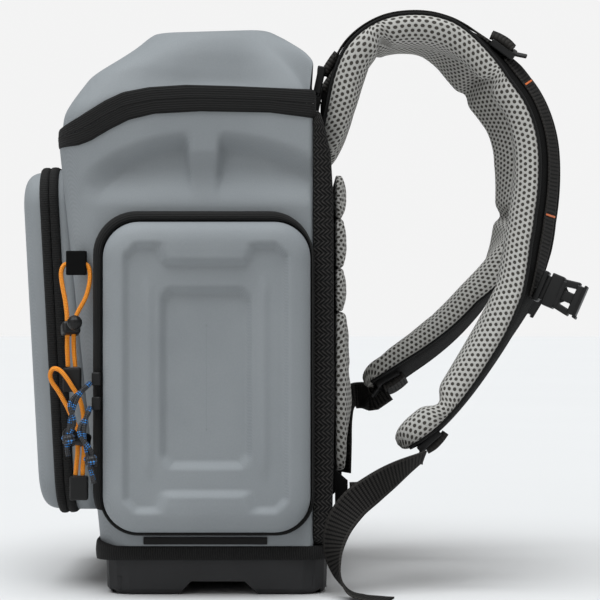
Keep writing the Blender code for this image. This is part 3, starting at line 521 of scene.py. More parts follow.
def measured_uv(points, around):
    """u down the rows and v along the columns, in metres, measured on the surface with v centred."""
    wide = np.concatenate([points, points[:, :1]], axis=1) if around else points
    steps = np.linalg.norm(np.diff(wide, axis=1), axis=2)
    v = np.concatenate([np.zeros((len(wide), 1)), np.cumsum(steps, axis=1)], axis=1)
    v -= v[:, -1:] / 2
    u = distances(wide[:, wide.shape[1] // 2])
    return joined(u[:, None], v)


def skin(name, points, look, around=False, caps=(False, False), uv=None):
    """A grid of points as one smooth surface, closed round its columns or capped where asked."""
    points = np.asarray(points, float)
    rows, cols = points.shape[:2]
    faces, corners = quads(rows, cols, around)
    if uv is None:
        uv = measured_uv(points, around)
    loops, faces = [uv.reshape(-1, 2)[corners].reshape(-1, 2)], list(faces)
    for row, capped in zip((0, rows - 1), caps):
        if capped:
            faces.append(row * cols + np.arange(cols))
            loops.append(uv[row, :cols])
    return build(name, points, faces, look, np.vstack(loops))


def tube(name, line, radius, look, sides=12):
    """A round tube along datum points, with v going once round."""
    line = np.asarray(line, float)
    along = unit(np.gradient(line, axis=0))
    side = np.zeros_like(line)
    aside = np.cross(along[0], (0.0, 0.0, 1.0))
    if np.linalg.norm(aside) < 0.2:
        aside = np.cross(along[0], (0.0, 1.0, 0.0))
    for i in range(len(line)):
        aside = aside - along[i] * (aside @ along[i])
        aside /= np.linalg.norm(aside)
        side[i] = aside
    up = np.cross(along, side)
    angle = np.linspace(0, 2 * math.pi, sides, endpoint=False)
    cosine, sine = np.cos(angle)[:, None], np.sin(angle)[:, None]
    points = line[:, None] + radius * (side[:, None] * cosine + up[:, None] * sine)
    uv = joined(distances(line)[:, None], np.linspace(0, 1, sides + 1))
    return skin(name, points, look, around=True, caps=(True, True), uv=uv)


def ribbon(name, centres, across, normals, width=WEBBING_WIDTH, thickness=WEBBING, bow=0.0):
    """Flat webbing with a rounded section along a line of frames."""
    steps = np.linspace(-0.5, 0.5, 9)
    section = [(v, 0.5) for v in steps] + [(v, -0.5) for v in steps[::-1]]
    rows = []
    for v, t in section:
        crown = (1 - 4 * v * v) * bow
        rows.append(centres + across * (v * width) + normals * (t * thickness + crown))
    points = np.stack(rows, axis=1)
    uv = joined(distances(centres)[:, None], [v * width for v, _ in section + section[:1]])
    return skin(name, points, "webbing", around=True, caps=(True, True), uv=uv)


def woven(name, line, across, width=WEBBING_WIDTH, thickness=WEBBING):
    """A ribbon of webbing whose width directions are first made square to its line."""
    along = unit(np.gradient(line, axis=0))
    across = unit(across - along * (across * along).sum(axis=1)[:, None])
    return ribbon(name, line, across, np.cross(along, across), width, thickness)


def routed(name, route, count):
    """A ribbon of webbing through places that each name a width direction."""
    points = smooth([(*point, *width) for point, width in route], count)
    return woven(name, points[:, :3], points[:, 3:])


def blocks(name, parts, look, turn=np.eye(3), centre=np.zeros(3), bevel=0.0012):
    """Bevelled boxes as one piece: each is (middle, size) in mm and may add a tilt about Y in degrees."""
    shaped = bmesh.new()
    for middle, size, *tilt in parts:
        size = Vector(size) * MM
        made = bmesh.new()
        bmesh.ops.create_cube(made, size=1.0)
        bmesh.ops.scale(made, vec=size, verts=made.verts)
        bmesh.ops.bevel(
            made, geom=made.edges, offset=min(bevel, min(size) * 0.45), segments=3, profile=0.6,
            affect="EDGES",
        )
        if tilt:
            bmesh.ops.rotate(
                made, cent=Vector(), matrix=Matrix.Rotation(math.radians(tilt[0]), 3, "Y"),
                verts=made.verts,
            )
        bmesh.ops.translate(made, vec=Vector(middle) * MM, verts=made.verts)
        spare = bpy.data.meshes.new("spare")
        made.to_mesh(spare)
        made.free()
        shaped.from_mesh(spare)
        bpy.data.meshes.remove(spare)
    shaped.verts.index_update()
    points = np.array([v.co for v in shaped.verts]) @ turn.T + centre
    faces = [[v.index for v in f.verts] for f in shaped.faces]
    shaped.free()
    return build(name, points, faces, look)


def paint(look, *names):
    """Gives carried-over CAD nodes their finished material."""
    for name in names:
        data = NODES[name].data
        data.materials.clear()
        data.materials.append(LOOKS[look])


CLOTH_FRAMES = 20
CLOTH_STIFFNESS = 18.0


def puff(piece, pinned, pressure, cap):
    """Inflates a closed piece as cloth; pinned points stay, and the others move no further than cap."""
    before = np.array([v.co for v in piece.data.vertices])
    group = piece.vertex_groups.new(name="pinned")
    group.add(np.flatnonzero(pinned).tolist(), 1.0, "REPLACE")
    modifier = piece.modifiers.new("cloth", "CLOTH")
    settings = modifier.settings
    settings.quality = 6
    settings.mass = 0.3
    settings.tension_stiffness = CLOTH_STIFFNESS
    settings.compression_stiffness = CLOTH_STIFFNESS
    settings.shear_stiffness = CLOTH_STIFFNESS / 2
    settings.bending_stiffness = 0.6
    settings.use_pressure = True
    settings.uniform_pressure_force = pressure
    settings.effector_weights.gravity = 0.0
    settings.vertex_group_mass = "pinned"
    settings.pin_stiffness = 1.0
    modifier.collision_settings.use_collision = False
    scene = bpy.context.scene
    for number in range(1, CLOTH_FRAMES + 1):
        scene.frame_set(number)
    graph = bpy.context.evaluated_depsgraph_get()
    swollen = piece.evaluated_get(graph).to_mesh()
    after = np.array([v.co for v in swollen.vertices])
    piece.evaluated_get(graph).to_mesh_clear()
    piece.modifiers.remove(modifier)
    scene.frame_set(1)
    move = after - before
    far = np.linalg.norm(move, axis=1, keepdims=True)
    move *= np.minimum(1.0, cap / np.maximum(far, 1e-9))
    piece.data.vertices.foreach_set("co", (before + move).astype(np.float32).ravel())
    piece.data.update()


def subdivide(piece):
    """Rounds a piece off by one level of subdivision."""
    modifier = piece.modifiers.new("smooth", "SUBSURF")
    modifier.levels = modifier.render_levels = 1


# ---------------------------------------------------------------- outlines


def outline(centres, corner, wide, tall):
    """Four arcs about centres (u, v, radius), anticlockwise, with the straight stretches between them."""
    arcs = []
    for quarter, (u, v, radius) in enumerate(centres):
        angle = math.pi / 2 * (quarter + np.arange(corner + 1) / corner)
        arcs.append(joined(u + radius * np.cos(angle), v + radius * np.sin(angle)))
    points = []
    for arc, following, steps in zip(arcs, arcs[1:] + arcs[:1], (wide, tall, wide, tall)):
        share = (np.arange(1, steps) / steps)[:, None]
        points += [arc, arc[-1] + (following[0] - arc[-1]) * share]
    return np.vstack(points)


def rounded(low_u, high_u, low_v, high_v, radius, corner=12, wide=26, tall=38):
    """Points of a rounded rectangle, the same number whatever its size."""
    radius = max(radius, 0.0004)
    centres = (
        (high_u - radius, high_v - radius), (low_u + radius, high_v - radius),
        (low_u + radius, low_v + radius), (high_u - radius, low_v + radius),
    )
    return outline([(u, v, radius) for u, v in centres], corner, wide, tall)


def ring_inside(box, inset, corner):
    """A rounded ring that lies a distance inside a box (low u, high u, low v, high v)."""
    low_u, high_u, low_v, high_v = box
    return rounded(low_u + inset, high_u - inset, low_v + inset, high_v - inset, corner)


def plan(front, rear, half, inset=0.0, front_radius=FRONT_RADIUS, rear_radius=REAR_RADIUS):
    """The case from above, as (x, y) from the far rear corner round the front to the near rear one."""
    behind, ahead = rear_radius - inset, front_radius - inset
    centres = (
        (rear - rear_radius, half - rear_radius, behind),
        (front + front_radius, half - front_radius, ahead),
        (front + front_radius, front_radius - half, ahead),
        (rear - rear_radius, rear_radius - half, behind),
    )
    return outline(centres, 12, 64, 40)


def polygon_distance(x, z, corners):
    """Signed distance to a convex polygon given anticlockwise in (x, z): negative inside."""
    corners = np.array(corners)
    best = np.full(np.shape(x), -1e9)
    for a, b in zip(corners, np.roll(corners, -1, axis=0)):
        edge = b - a
        normal = np.array((edge[1], -edge[0])) / np.linalg.norm(edge)
        best = np.maximum(best, (x - a[0]) * normal[0] + (z - a[1]) * normal[1])
    return best


def octagon_distance(x, z, half, high, chamfer):
    """Signed distance to a rectangle of half sizes half and high, with its corners cut off."""
    cut_x, cut_z = half - chamfer, high - chamfer
    return polygon_distance(
        x, z,
        (
            (-half, -cut_z), (-cut_x, -high), (cut_x, -high), (half, -cut_z),
            (half, cut_z), (cut_x, high), (-cut_x, high), (-half, cut_z),
        ),
    )


# ---------------------------------------------------------------- the case


def case_relief(x, z):
    """How deep the case's side is pressed in: an arched recess over the door, a rib up its middle."""
    middle_x, middle_z, depth, slope = -0.0066, 0.313, 0.0125, 0.0165
    reach_x = np.where(x < middle_x, 0.09, 0.1)
    reach_z = 0.055
    east, north = (x - middle_x) / reach_x, (z - middle_z) / reach_z
    radial = np.sqrt(east**2 + north**2)
    outside = (radial - 1) * reach_z
    climb = np.clip(1 - outside / slope, 0, 1)
    at_lip = middle_z + north / np.maximum(radial, 1e-6) * reach_z
    fade = smoothstep((np.where(outside > 0, at_lip, z) - 0.32) / 0.034)
    pressed = depth * climb * climb * (2 - climb) * fade
    half = np.interp(z, (0.323, 0.366), (0.0105, 0.014))
    on_rib = smoothstep((half - np.abs(x + 0.0074)) / 0.005 + 0.5)
    height = np.clip((z - 0.3225) / 0.044, 0, 1)
    rib = np.where(z > 0.3225, 0.1 + 0.9 * height, 0.0)
    return pressed * (1 - on_rib * rib)


def case_ring(share, wall, sharpness):
    """The case's outline at a share of its height, on the surface that lies a wall's thickness inside."""
    bottom = CASE_BOTTOM + wall
    x, y = plan(front_x(bottom + share * (CASE_TOP - bottom)), CASE_REAR, HALF_WIDTH, wall).T
    z = bottom + share * (band_middle(x) - RIM_GAP / 2 - bottom)
    facing = np.clip((np.abs(y) - (HALF_WIDTH - wall - FRONT_RADIUS)) / FRONT_RADIUS, 0, 1)
    return joined(x, y - np.sign(y) * case_relief(x, z) * facing**sharpness, z)


def case_skin():
    """The cup of the case, open at the top, and its lining."""
    levels = np.concatenate([[0.0], np.linspace(0.002, 1.0, 170)])
    piece = skin("case_skin", [case_ring(share, 0.0, 2.0) for share in levels], "case", around=True)
    place(piece, "pack", "main_shell")
    inner = [case_ring(share, WALL, 0.5) for share in np.linspace(1.0, 0.0, 24)]
    top = plan(front_x(CASE_TOP), CASE_REAR, HALF_WIDTH, 0.0005)
    inner.insert(0, joined(top[:, 0], top[:, 1], band_middle(top[:, 0]) - RIM_GAP / 2 - 0.0002))
    place(skin("case_lining", inner, "lining", around=True, caps=(False, True)), "pack")


def lid_skin():
    """The domed lid: a rim on the zip line, walls with a flared foot at the sides, and a flat roof."""
    profiles = {
        "front": (
            (0, 0), (0.013, 0.084), (0.054, 0.252), (0.24, 0.489), (0.363, 0.604),
            (0.652, 0.773), (0.813, 0.872), (0.94, 0.965), (1, 1),
        ),
        "side": (
            (0, 0), (0.12, 0.03), (0.3, 0.11), (0.44, 0.24), (0.53, 0.46),
            (0.61, 0.7), (0.72, 0.88), (0.85, 0.965), (1, 1),
        ),
        "rear": (
            (0, 0), (0.02, 0.1), (0.09, 0.22), (0.2, 0.36), (0.38, 0.53),
            (0.6, 0.72), (0.78, 0.86), (0.92, 0.96), (1, 1),
        ),
    }
    steps = 34
    curves = {key: smooth(points, steps) for key, points in profiles.items()}
    foot = plan(front_x(0.378), CASE_REAR, HALF_WIDTH, 0.0)
    top = plan(-0.0535, 0.0445, 0.098, 0.0, 0.022, 0.018)
    x = foot[:, 0]
    corner = CASE_REAR - REAR_RADIUS
    rise = smoothstep((x - corner) / REAR_RADIUS)
    rim = band_middle(x) + RIM_GAP / 2
    rim += (HINGE_HEIGHT - rim) * rise
    roof = 0.47 + (top[:, 0] + 0.05) / 0.097 * 0.0028
    to_front = smoothstep((-0.01 - x) / 0.095)
    to_rear = smoothstep((x - 0.03) / 0.053)
    weights = {"front": to_front, "rear": to_rear, "side": 1 - to_front - to_rear}

    def shell(offset):
        rows = []
        for step in range(steps):
            inward = sum(weights[key] * curves[key][step, 0] for key in curves)
            upward = sum(weights[key] * curves[key][step, 1] for key in curves)
            flat = foot + (top - foot) * inward[:, None]
            height = rim + (roof - rim) * upward
            flat = flat * (1 - offset / np.maximum(np.abs(flat), 0.02))
            rows.append(joined(flat[:, 0], flat[:, 1], height - offset * (step > 0)))
        crest = rows[-1]
        middle = np.array((-0.002, 0.0, crest[:, 2].mean() + 0.001))
        for share in np.linspace(0.92, 0.04, 14):
            rows.append(middle + (crest - middle) * share)
        return rows

    place(skin("lid_skin", shell(0.0), "case", around=True, caps=(False, True)), "lid", "lid_shell")
    place(skin("lid_lining", shell(0.004)[::2], "lining", around=True, caps=(False, True)), "lid")


def band_strip(name, low, high, body, node, coil_at_top):
    """One half of the lid's zip: a bulged tape with the coil's half along one edge."""
    ring = plan(front_x(0.38), CASE_REAR, HALF_WIDTH, 0.0)
    on_rear = (ring[:, 0] > 0) & (np.abs(ring[:, 1]) < HALF_WIDTH - REAR_RADIUS + 0.0006)
    ring = ring[~on_rear]
    out = unit(joined(np.gradient(ring[:, 1]), -np.gradient(ring[:, 0])))
    middle_of_ring = ring.mean(axis=0)
    out *= np.sign(((ring - middle_of_ring) * out).sum(axis=1))[:, None]
    x = ring[:, 0]
    share = np.linspace(0, 1, 13)
    edge = share if coil_at_top else 1 - share
    lift = np.interp(
        edge, (0.0, 0.04, 0.3, 0.7, 0.9, 1.0), (0.0003, 0.0016, 0.0022, 0.0023, 0.0026, 0.0024),
    )
    rows = []
    for part, rise in zip(share, lift):
        z = low(x) + (high(x) - low(x)) * part
        rows.append(np.column_stack([ring + out * rise, z]))
    place(skin(name, np.stack(rows, axis=1), "tape"), body, node)


def lid_zip():
    """Both halves of the lid's zip."""
    band_strip(
        "shell_tape", lambda x: between(BAND_LOW, x), lambda x: band_middle(x) - SEAM, "pack",
        "shell_zip_tape", True,
    )
    band_strip(
        "lid_tape", lambda x: band_middle(x) + SEAM, lambda x: between(BAND_HIGH, x), "lid",
        "lid_zip_tape", False,
    )


# ---------------------------------------------------------------- moulded doors


def door_relief(x, z, box):
    """The pressed frame of a door: two steps down to a flat middle, with a raised bar at top and foot."""
    low_x, high_x, low_z, high_z = box
    mid_x, mid_z = (low_x + high_x) / 2, (low_z + high_z) / 2
    wide, tall = (high_x - low_x) / 2, (high_z - low_z) / 2
    x, z = x - mid_x, z - mid_z
    side, top = wide - 0.02, tall - 0.02
    outer = octagon_distance(x, z, side, top, 0.009)
    bar_half, bar_low = side - 0.018, top - 0.0135
    bar = (
        (-bar_half + 0.014, bar_low), (bar_half - 0.014, bar_low), (bar_half, tall), (-bar_half, tall),
    )
    first = np.maximum(outer, -polygon_distance(x, np.abs(z), bar))
    second = octagon_distance(x, z, side - 0.029, top - 0.035, 0.008)
    rail = np.exp(
        -(((np.abs(x) - (side - 0.0185)) / 0.0042) ** 2)
    ) * smoothstep((top - 0.02 - np.abs(z)) / 0.02)
    return (
        0.0052 * smoothstep(-first / 0.007 + 0.5)
        + 0.0056 * smoothstep(-second / 0.008 + 0.35)
        - 0.0016 * rail
    )


DOOR_EDGE = mm((
    (0, 147.5), (0.4, 156), (1.4, 161.8), (3.4, 166.2), (6.5, 169.5), (10.5, 171.8), (16, 173.4),
    (23, 174),
))


def moulded(name, box, corner, edge, placed, look="case"):
    """A moulded door: rings from its rim to its middle, placed by a function of (u, v, depth)."""
    low_u, high_u, low_v, high_v = box
    half = min(high_u - low_u, high_v - low_v) / 2
    curve = smooth(edge, 26)
    insets = np.concatenate([curve[:, 0], np.arange(0.0242, half - 0.0008, 0.0014), [half - 0.00002]])
    rows = []
    for inset in insets:
        ring = ring_inside(box, inset, corner - inset * CORNER_CLOSING)
        u, v = ring.T
        deep = np.interp(inset, curve[:, 0], curve[:, 1]) if inset > 0 else edge[0][1]
        depth = deep - door_relief(u, v, box) * smoothstep((inset - 0.008) / 0.008)
        rows.append(placed(u, v, depth))
    return skin(name, rows, look, around=True)


def side_doors():
    """Both side pockets' doors with their lining, piping and zip band."""
    for name, side in SIDES.items():

        def placed(u, v, depth, side=side):
            return joined(u, side * depth, v)

        door = moulded(f"side_door_skin_{name}", DOOR, DOOR_CORNER, DOOR_EDGE, placed)
        place(door, f"door_{name}", f"side_door_{name}")
        rows = []
        for inset, y in (
            (0.0, 0.1476), (0.0036, 0.1476), (0.0044, 0.156), (0.007, 0.1625), (0.015, 0.1665),
            (0.025, 0.163), (0.06, 0.1605), (0.084, 0.1605),
        ):
            ring = ring_inside(DOOR, inset, DOOR_CORNER - inset * CORNER_CLOSING)
            rows.append(placed(*ring.T, y))
        lining = skin(f"side_door_lining_{name}", rows, "lining", around=True, caps=(False, True))
        place(lining, f"door_{name}")
        ring = ring_inside(DOOR, -0.001, DOOR_CORNER)
        closed = np.vstack([ring, ring[:1]])
        line = placed(*closed.T, 0.1493)
        place(tube(f"side_door_piping_{name}", line, 0.0019, "tape", 8), f"door_{name}")
        side_band(name, side)


def side_band(name, side):
    """The black zip band round the front, the top and the rear of a side pocket."""
    inner = rounded(DOOR[0] - 0.0006, DOOR[1] + 0.0004, 0.0525, DOOR[3] + 0.0006, DOOR_CORNER)
    outer = rounded(-0.098, 0.0828, 0.05, 0.3165, 0.036)
    keep = inner[:, 1] > 0.068
    split = np.argmax(~keep)
    order = np.roll(np.arange(len(inner)), -split)
    order = order[keep[order]]
    inner, outer = inner[order], outer[order]
    section = (
        (0.0, 0.1463), (0.0, 0.153), (0.06, 0.155), (0.2, 0.1568), (0.4, 0.1578), (0.6, 0.1582),
        (0.8, 0.158), (0.95, 0.1572), (1.0, 0.155), (1.0, 0.148),
    )
    rows = []
    for share, y in section:
        ring = outer + (inner - outer) * share
        rows.append(joined(ring[:, 0], side * y, ring[:, 1]))
    place(skin(f"side_band_{name}", np.stack(rows, axis=1), "tape"), "pack", f"side_zip_frame_{name}")
    flap = blocks(f"hinge_flap_{name}", [((-6, side * 147, 45), (102, 2, 6))], "tape", bevel=0.0007)
    place(flap, "pack")


def pocket_point(y, up, out):
    """Points of the leaning front pocket, from heights on its slope and distances from the case."""
    sine, cosine = math.sin(POCKET_LEAN), math.cos(POCKET_LEAN)
    return POCKET_FOOT + joined(-sine * up - cosine * out, y, cosine * up - sine * out)


def pocket_ring(inset, out):
    """A ring round the front pocket, a distance inside its outline and away from the case."""
    ring = ring_inside(POCKET, inset, POCKET_CORNER - inset * POCKET_CORNER_CLOSING)
    return pocket_point(ring[:, 0], ring[:, 1], out)


def front_pocket():
    """The front pocket: its door, both halves of its zip, and the frame that joins it to the case."""
    middle = BAND_DEPTH / 2
    edge = tuple((inset, middle + 0.0003 + (y - 0.1475) * 0.895) for inset, y in DOOR_EDGE)
    door = moulded("front_door_skin", POCKET, POCKET_CORNER, edge, pocket_point)
    place(door, "door_front", "front_door")
    inside = [
        pocket_ring(inset, out)
        for inset, out in (
            (0.0, middle + 0.0004), (0.004, middle + 0.0004), (0.006, 0.019), (0.016, 0.0225),
            (0.05, 0.018), (0.11, 0.018),
        )
    ]
    place(skin("front_door_lining", inside, "lining", around=True, caps=(False, True)), "door_front")

    def hoop(name, section, look, body, node):
        rings = [pocket_ring(inset, out) for inset, out in section]
        place(skin(name, rings, look, around=True), body, node)

    hoop(
        "front_band_fixed",
        (
            (0.003, 0.0003), (-0.0022, 0.0003), (-0.0032, 0.0016), (-0.0036, 0.004),
            (-0.0034, 0.0062), (-0.0026, middle - 0.0003), (0.003, middle - 0.0003),
        ),
        "tape", "pack", "front_zip_frame",
    )
    hoop(
        "front_band_moving",
        (
            (0.002, middle + 0.0003), (-0.0026, middle + 0.0003), (-0.0034, 0.0094), (-0.0036, 0.0116),
            (-0.0032, 0.0138), (-0.002, 0.0152), (0.0006, 0.016), (0.0012, 0.014),
        ),
        "tape", "door_front", "front_door_tape",
    )
    outer, inner = pocket_ring(-0.001, -0.0003), pocket_ring(0.005, -0.0003)

    def against_case(ring):
        return joined(front_x(ring[:, 2]) - 0.0004, ring[:, 1], ring[:, 2])

    rows = [
        inner, outer, outer + (against_case(outer) - outer) * 0.5, against_case(outer),
        against_case(inner),
    ]
    place(skin("front_frame_skin", rows, "case", around=True), "pack", "front_frame")


# ---------------------------------------------------------------- base and back


def base():
    """The foot's finish, and the webbing sewn round the joint of foot and case."""
    paint("tray", "base_tray")
    outer = rounded(-0.0975, 0.0965, -0.1472, 0.1472, 0.017, 12, 60, 60)
    x = outer[:, 0]
    dip = 0.004 * smoothstep((-0.08 - x) / 0.02)
    middle = outer.mean(axis=0)
    rows = []
    for share, inset in (
        (0.0, 0.0035), (0.0, 0.0006), (0.15, 0.0), (0.5, -0.0004), (0.85, 0.0), (1.0, 0.0006),
        (1.0, 0.0035),
    ):
        ring = middle + (outer - middle) * (1 - inset / 0.12)
        low, high = 0.029, 0.0405 + dip
        rows.append(joined(ring[:, 0], ring[:, 1], low + (high - low) * share))
    place(skin("base_band", rows, "tape", around=True), "pack", "base_binding")


def panel_rear(z):
    """Where the back panel's frame ends, towards the wearer, at a height."""
    return between(
        (
            (0.04, 0.0985), (0.16, 0.1005), (0.33, 0.0995), (0.365, 0.0975), (0.385, 0.093),
            (0.4, 0.089),
        ),
        z,
    )


def back():
    """The black frame of the back panel and the pads in it."""
    outer = rounded(-HALF_WIDTH, HALF_WIDTH, 0.04, 0.4, 0.014, 8, 30, 60)
    inner = rounded(-0.133, 0.133, 0.053, 0.387, 0.004, 8, 30, 60)
    section = ((0.0, 0.0), (0.0, 0.12), (0.0, 0.5), (0.0, 0.8), (0.12, 0.97), (0.5, 1.0), (1.0, 1.0))
    front = CASE_REAR + 0.0003
    rows = []
    for share, depth in section:
        ring = outer + (inner - outer) * share
        rear = panel_rear(ring[:, 1])
        swell = 0.0012 * math.sin(math.pi * min(depth, 1.0)) * (share == 0.0)
        y = ring[:, 0] * (1 + swell / HALF_WIDTH)
        rows.append(joined(front + (rear - front) * depth, y, ring[:, 1]))
    place(skin("gusset_skin", rows, "spacer", around=True), "pack", "back_gusset")
    paint("lining", "back_foam", "divider", "rear_yoke")
    paint("plastic", "frame_sheet")
    seams = (0.349, 0.3123, 0.2705, 0.2337, 0.099)
    for number, (high, low) in enumerate(zip(seams, seams[1:]), 1):
        back_pad(number, low + 0.0001, high - 0.0001)


def back_pad(number, low, high):
    """A crowned mesh pad, sewn down along its edges; its weave is laid out flat round the steep edge."""
    half = (high - low) / 2
    curve = smooth(
        (
            (0.0, 0.0), (0.0001, 0.005), (0.0008, 0.0088), (0.0055, 0.0116), (0.013, 0.013),
            (0.022, 0.0135),
        ),
        16,
    )
    climbed = distances(curve)
    insets = np.concatenate([curve[:, 0], np.arange(0.026, half - 0.001, 0.005)])
    insets = insets[insets < half - 0.0012]
    sides = max(6, int(half * 400))

    def ring_at(inset):
        radius = 0.008 - inset * 0.3
        return rounded(inset - 0.108, 0.108 - inset, low + inset, high - inset, radius, 5, 40, sides)

    rows, laid = [], []
    for inset in insets:
        ring = ring_at(inset)
        lift = np.interp(inset, curve[:, 0], curve[:, 1])
        unrolled = np.interp(
            inset, curve[:, 0], climbed - climbed[-1] + curve[-1, 0],
        ) if inset < curve[-1, 0] else inset
        rows.append(joined(0.1012 + lift, ring[:, 0], ring[:, 1]))
        laid.append(ring_at(unrolled))
    points, laid = np.array(rows), np.array(laid)
    uv = np.concatenate([laid, laid[:, :1]], axis=1)
    piece = skin(f"back_pad_skin_{number}", points, "mesh", around=True, caps=(True, True), uv=uv)
    pinned = np.zeros(points.shape[:2], bool)
    pinned[:4] = True
    puff(piece, pinned, 3.0, 0.003)
    subdivide(piece)
    place(piece, "pack", f"back_pad_{number}")


# ---------------------------------------------------------------- harness


def strap_line(name, side, count):
    """Centres, tangents, width directions and outward normals along a strap."""
    line = smooth([(x, 0.0, z) for x, z in STRAP_ROUTES[name]], count)
    share = np.arange(count) / (count - 1)
    tangent = unit(np.gradient(line, axis=0))
    outward = joined(-tangent[:, 2], 0.0, tangent[:, 0])
    turn = np.radians(between(STRAP_TURN[name], share))[:, None]
    across = np.array((0.0, side, 0.0))
    normal = outward * np.cos(turn) + across * np.sin(turn)
    width = across * np.cos(turn) - outward * np.sin(turn)
    centre = line.copy()
    centre[:, 0] += between(STRAP_SHIFT_X[name], share)
    centre[:, 1] = side * between(STRAP_SPREAD, share)
    centre[:, 2] += between(STRAP_RAISE[name], share)
    return centre, tangent, width, normal


# Where a pad is sewn through, by share of its length, and the stations at which its parts sit.
PINCHES = {"near": (0.172, 0.383, 0.935), "far": (0.172, 0.385, 0.64)}
STATIONS = 27
LIFTER_START, CHEST_LOCK, BUCKLE, LOWER_LOCK = 3, 9, 19, 25
LIFTER_END, DAISY_START, DAISY_END = 8.9, 9.7, 19.2
BAR_TACKS = (11.0, 16.0)


def strap_frame(name, side, station):
    """Centre, tangent, width direction and normal at one of the stations that divide a strap evenly."""
    return (part[station] for part in strap_line(name, side, STATIONS))


def strap_section(angle):
    """A rounded oblong, flatter than an ellipse, as shares of half the width and thickness."""
    u = np.sign(np.cos(angle)) * np.abs(np.cos(angle)) ** 0.5
    v = np.sign(np.sin(angle)) * np.abs(np.sin(angle)) ** 0.75
    return u, v


def strap_surface(name, side, count, angle, lift=0.0):
    centre, tangent, width, normal = strap_line(name, side, count)
    share = np.arange(count) / (count - 1)
    stretch = STRAP_BEYOND * np.clip((share - 0.88) / 0.12, 0, 1)[:, None] ** 1.5
    curl = stretch**2 / STRAP_BEYOND
    centre = centre + tangent * (stretch - 0.6 * curl) + STRAP_DROOP * 0.6 * curl
    centre = centre + STRAP_ROOT * np.clip(1 - share / 0.06, 0, 1)[:, None] ** 1.3
    length = distances(centre)
    size = np.interp(length, (0.0, 0.004, 0.012, 0.028, 0.05), (0.16, 0.38, 0.66, 0.9, 1.0))
    size = size * np.interp(
        length[-1] - length, (0.0, 0.003, 0.008, 0.018, 0.035), (0.4, 0.64, 0.82, 0.95, 1.0),
    )
    thinned = between(STRAP_THINNING[name], share)
    squeeze = np.ones(count)
    for at in PINCHES[name]:
        squeeze -= 0.86 * np.exp(-(((share - at) / 0.01) ** 2))
    u, v = strap_section(angle)
    inner = np.where(v[None, :] < 0, squeeze[:, None], 1.0)
    narrow = 1 - (1 - squeeze[:, None]) * 0.1 * (v[None, :] < 0.2)
    across = u[None, :] * (STRAP_WIDTH / 2 + lift) * size[:, None] * narrow
    inner = inner * np.where(v[None, :] < 0, 2 * thinned[:, None] - 1, 1.0)
    through = v[None, :] * (STRAP_THICKNESS / 2 + lift) * size[:, None] * inner
    return centre[:, None] + width[:, None] * across[..., None] + normal[:, None] * through[..., None]


def strap(name, side):
    """One shoulder strap: its mesh pad, the panel sewn on it, the piping and the webbing."""
    body = f"strap_{name}"
    count, around = 132, 34
    angle = 2 * math.pi * (np.arange(around) + 0.5) / around + math.pi / 2
    points = strap_surface(name, side, count, angle, -0.0005)
    pad = skin(f"strap_mesh_{name}", points, "mesh", around=True, caps=(True, True))
    _, v = strap_section(angle)
    share = np.arange(count) / (count - 1)
    pinned = np.zeros((count, around), bool)
    pinned[:, v > 0.55] = True
    for at in PINCHES[name]:
        pinned[np.abs(share - at) < 0.005] = True
    pinned[:2] = pinned[-2:] = True
    puff(pad, pinned, 4.0, 0.005)
    subdivide(pad)
    place(pad, body, f"strap_pad_{name}")
    spread = np.radians(np.linspace(53, 127, 15))
    panel = strap_surface(name, side, 220, spread, 0.0004)[5:-2]
    place(skin(f"strap_panel_{name}", panel, "panel"), body)
    for row, label in ((panel[:, 0], "a"), (panel[:, -1], "b")):
        place(tube(f"strap_piping_{name}_{label}", row, 0.0014, "tape", 8), body)
    webbing(name, side, body)


def webbing(name, side, body):
    """Webbing on the strap's outer face, and the lower webbing from the pack's wing to the lock."""
    count = 260
    centre, tangent, width, normal = strap_line(name, side, count)

    def station(index):
        return int(round(index / (STATIONS - 1) * (count - 1)))

    def laid(piece_name, first, last, lift, node, bow):
        part = slice(station(first), station(last) + 1)
        at = centre[part] + normal[part] * (STRAP_THICKNESS / 2 + lift)
        place(ribbon(piece_name, at, width[part], normal[part], bow=bow), body, node)

    lift = WEBBING / 2 + 0.0009
    laid(f"daisy_{name}", DAISY_START, DAISY_END, lift, f"daisy_webbing_{name}", 0.0)
    lift = WEBBING / 2 + WEBBING_LIFT
    laid(f"lifter_{name}", LIFTER_START, LIFTER_END, lift, f"lifter_webbing_{name}", 0.0004)
    place(routed(f"lower_{name}", lower_feed(name, side), 90), body, f"lower_webbing_{name}")
    for number, index in enumerate(BAR_TACKS, 1):
        at = station(index)
        where = centre[at] + normal[at] * (STRAP_THICKNESS / 2 + WEBBING + WEBBING_LIFT)
        turn = joined(tangent[at], width[at], normal[at])
        bar = ((0, 0, 0), (1.6, 23, 0.8))
        place(blocks(f"bar_tack_{name}_{number}", [bar], "thread", turn, where, 0.0003), body)


def lock_place(name, side):
    """Where the lower ladder lock sits on its strap."""
    out, along = STRAP_THICKNESS / 2 + 0.002, 0.018
    centre, tangent, width, normal = strap_frame(name, side, LOWER_LOCK)
    return centre + normal * out + tangent * along, tangent, width, normal


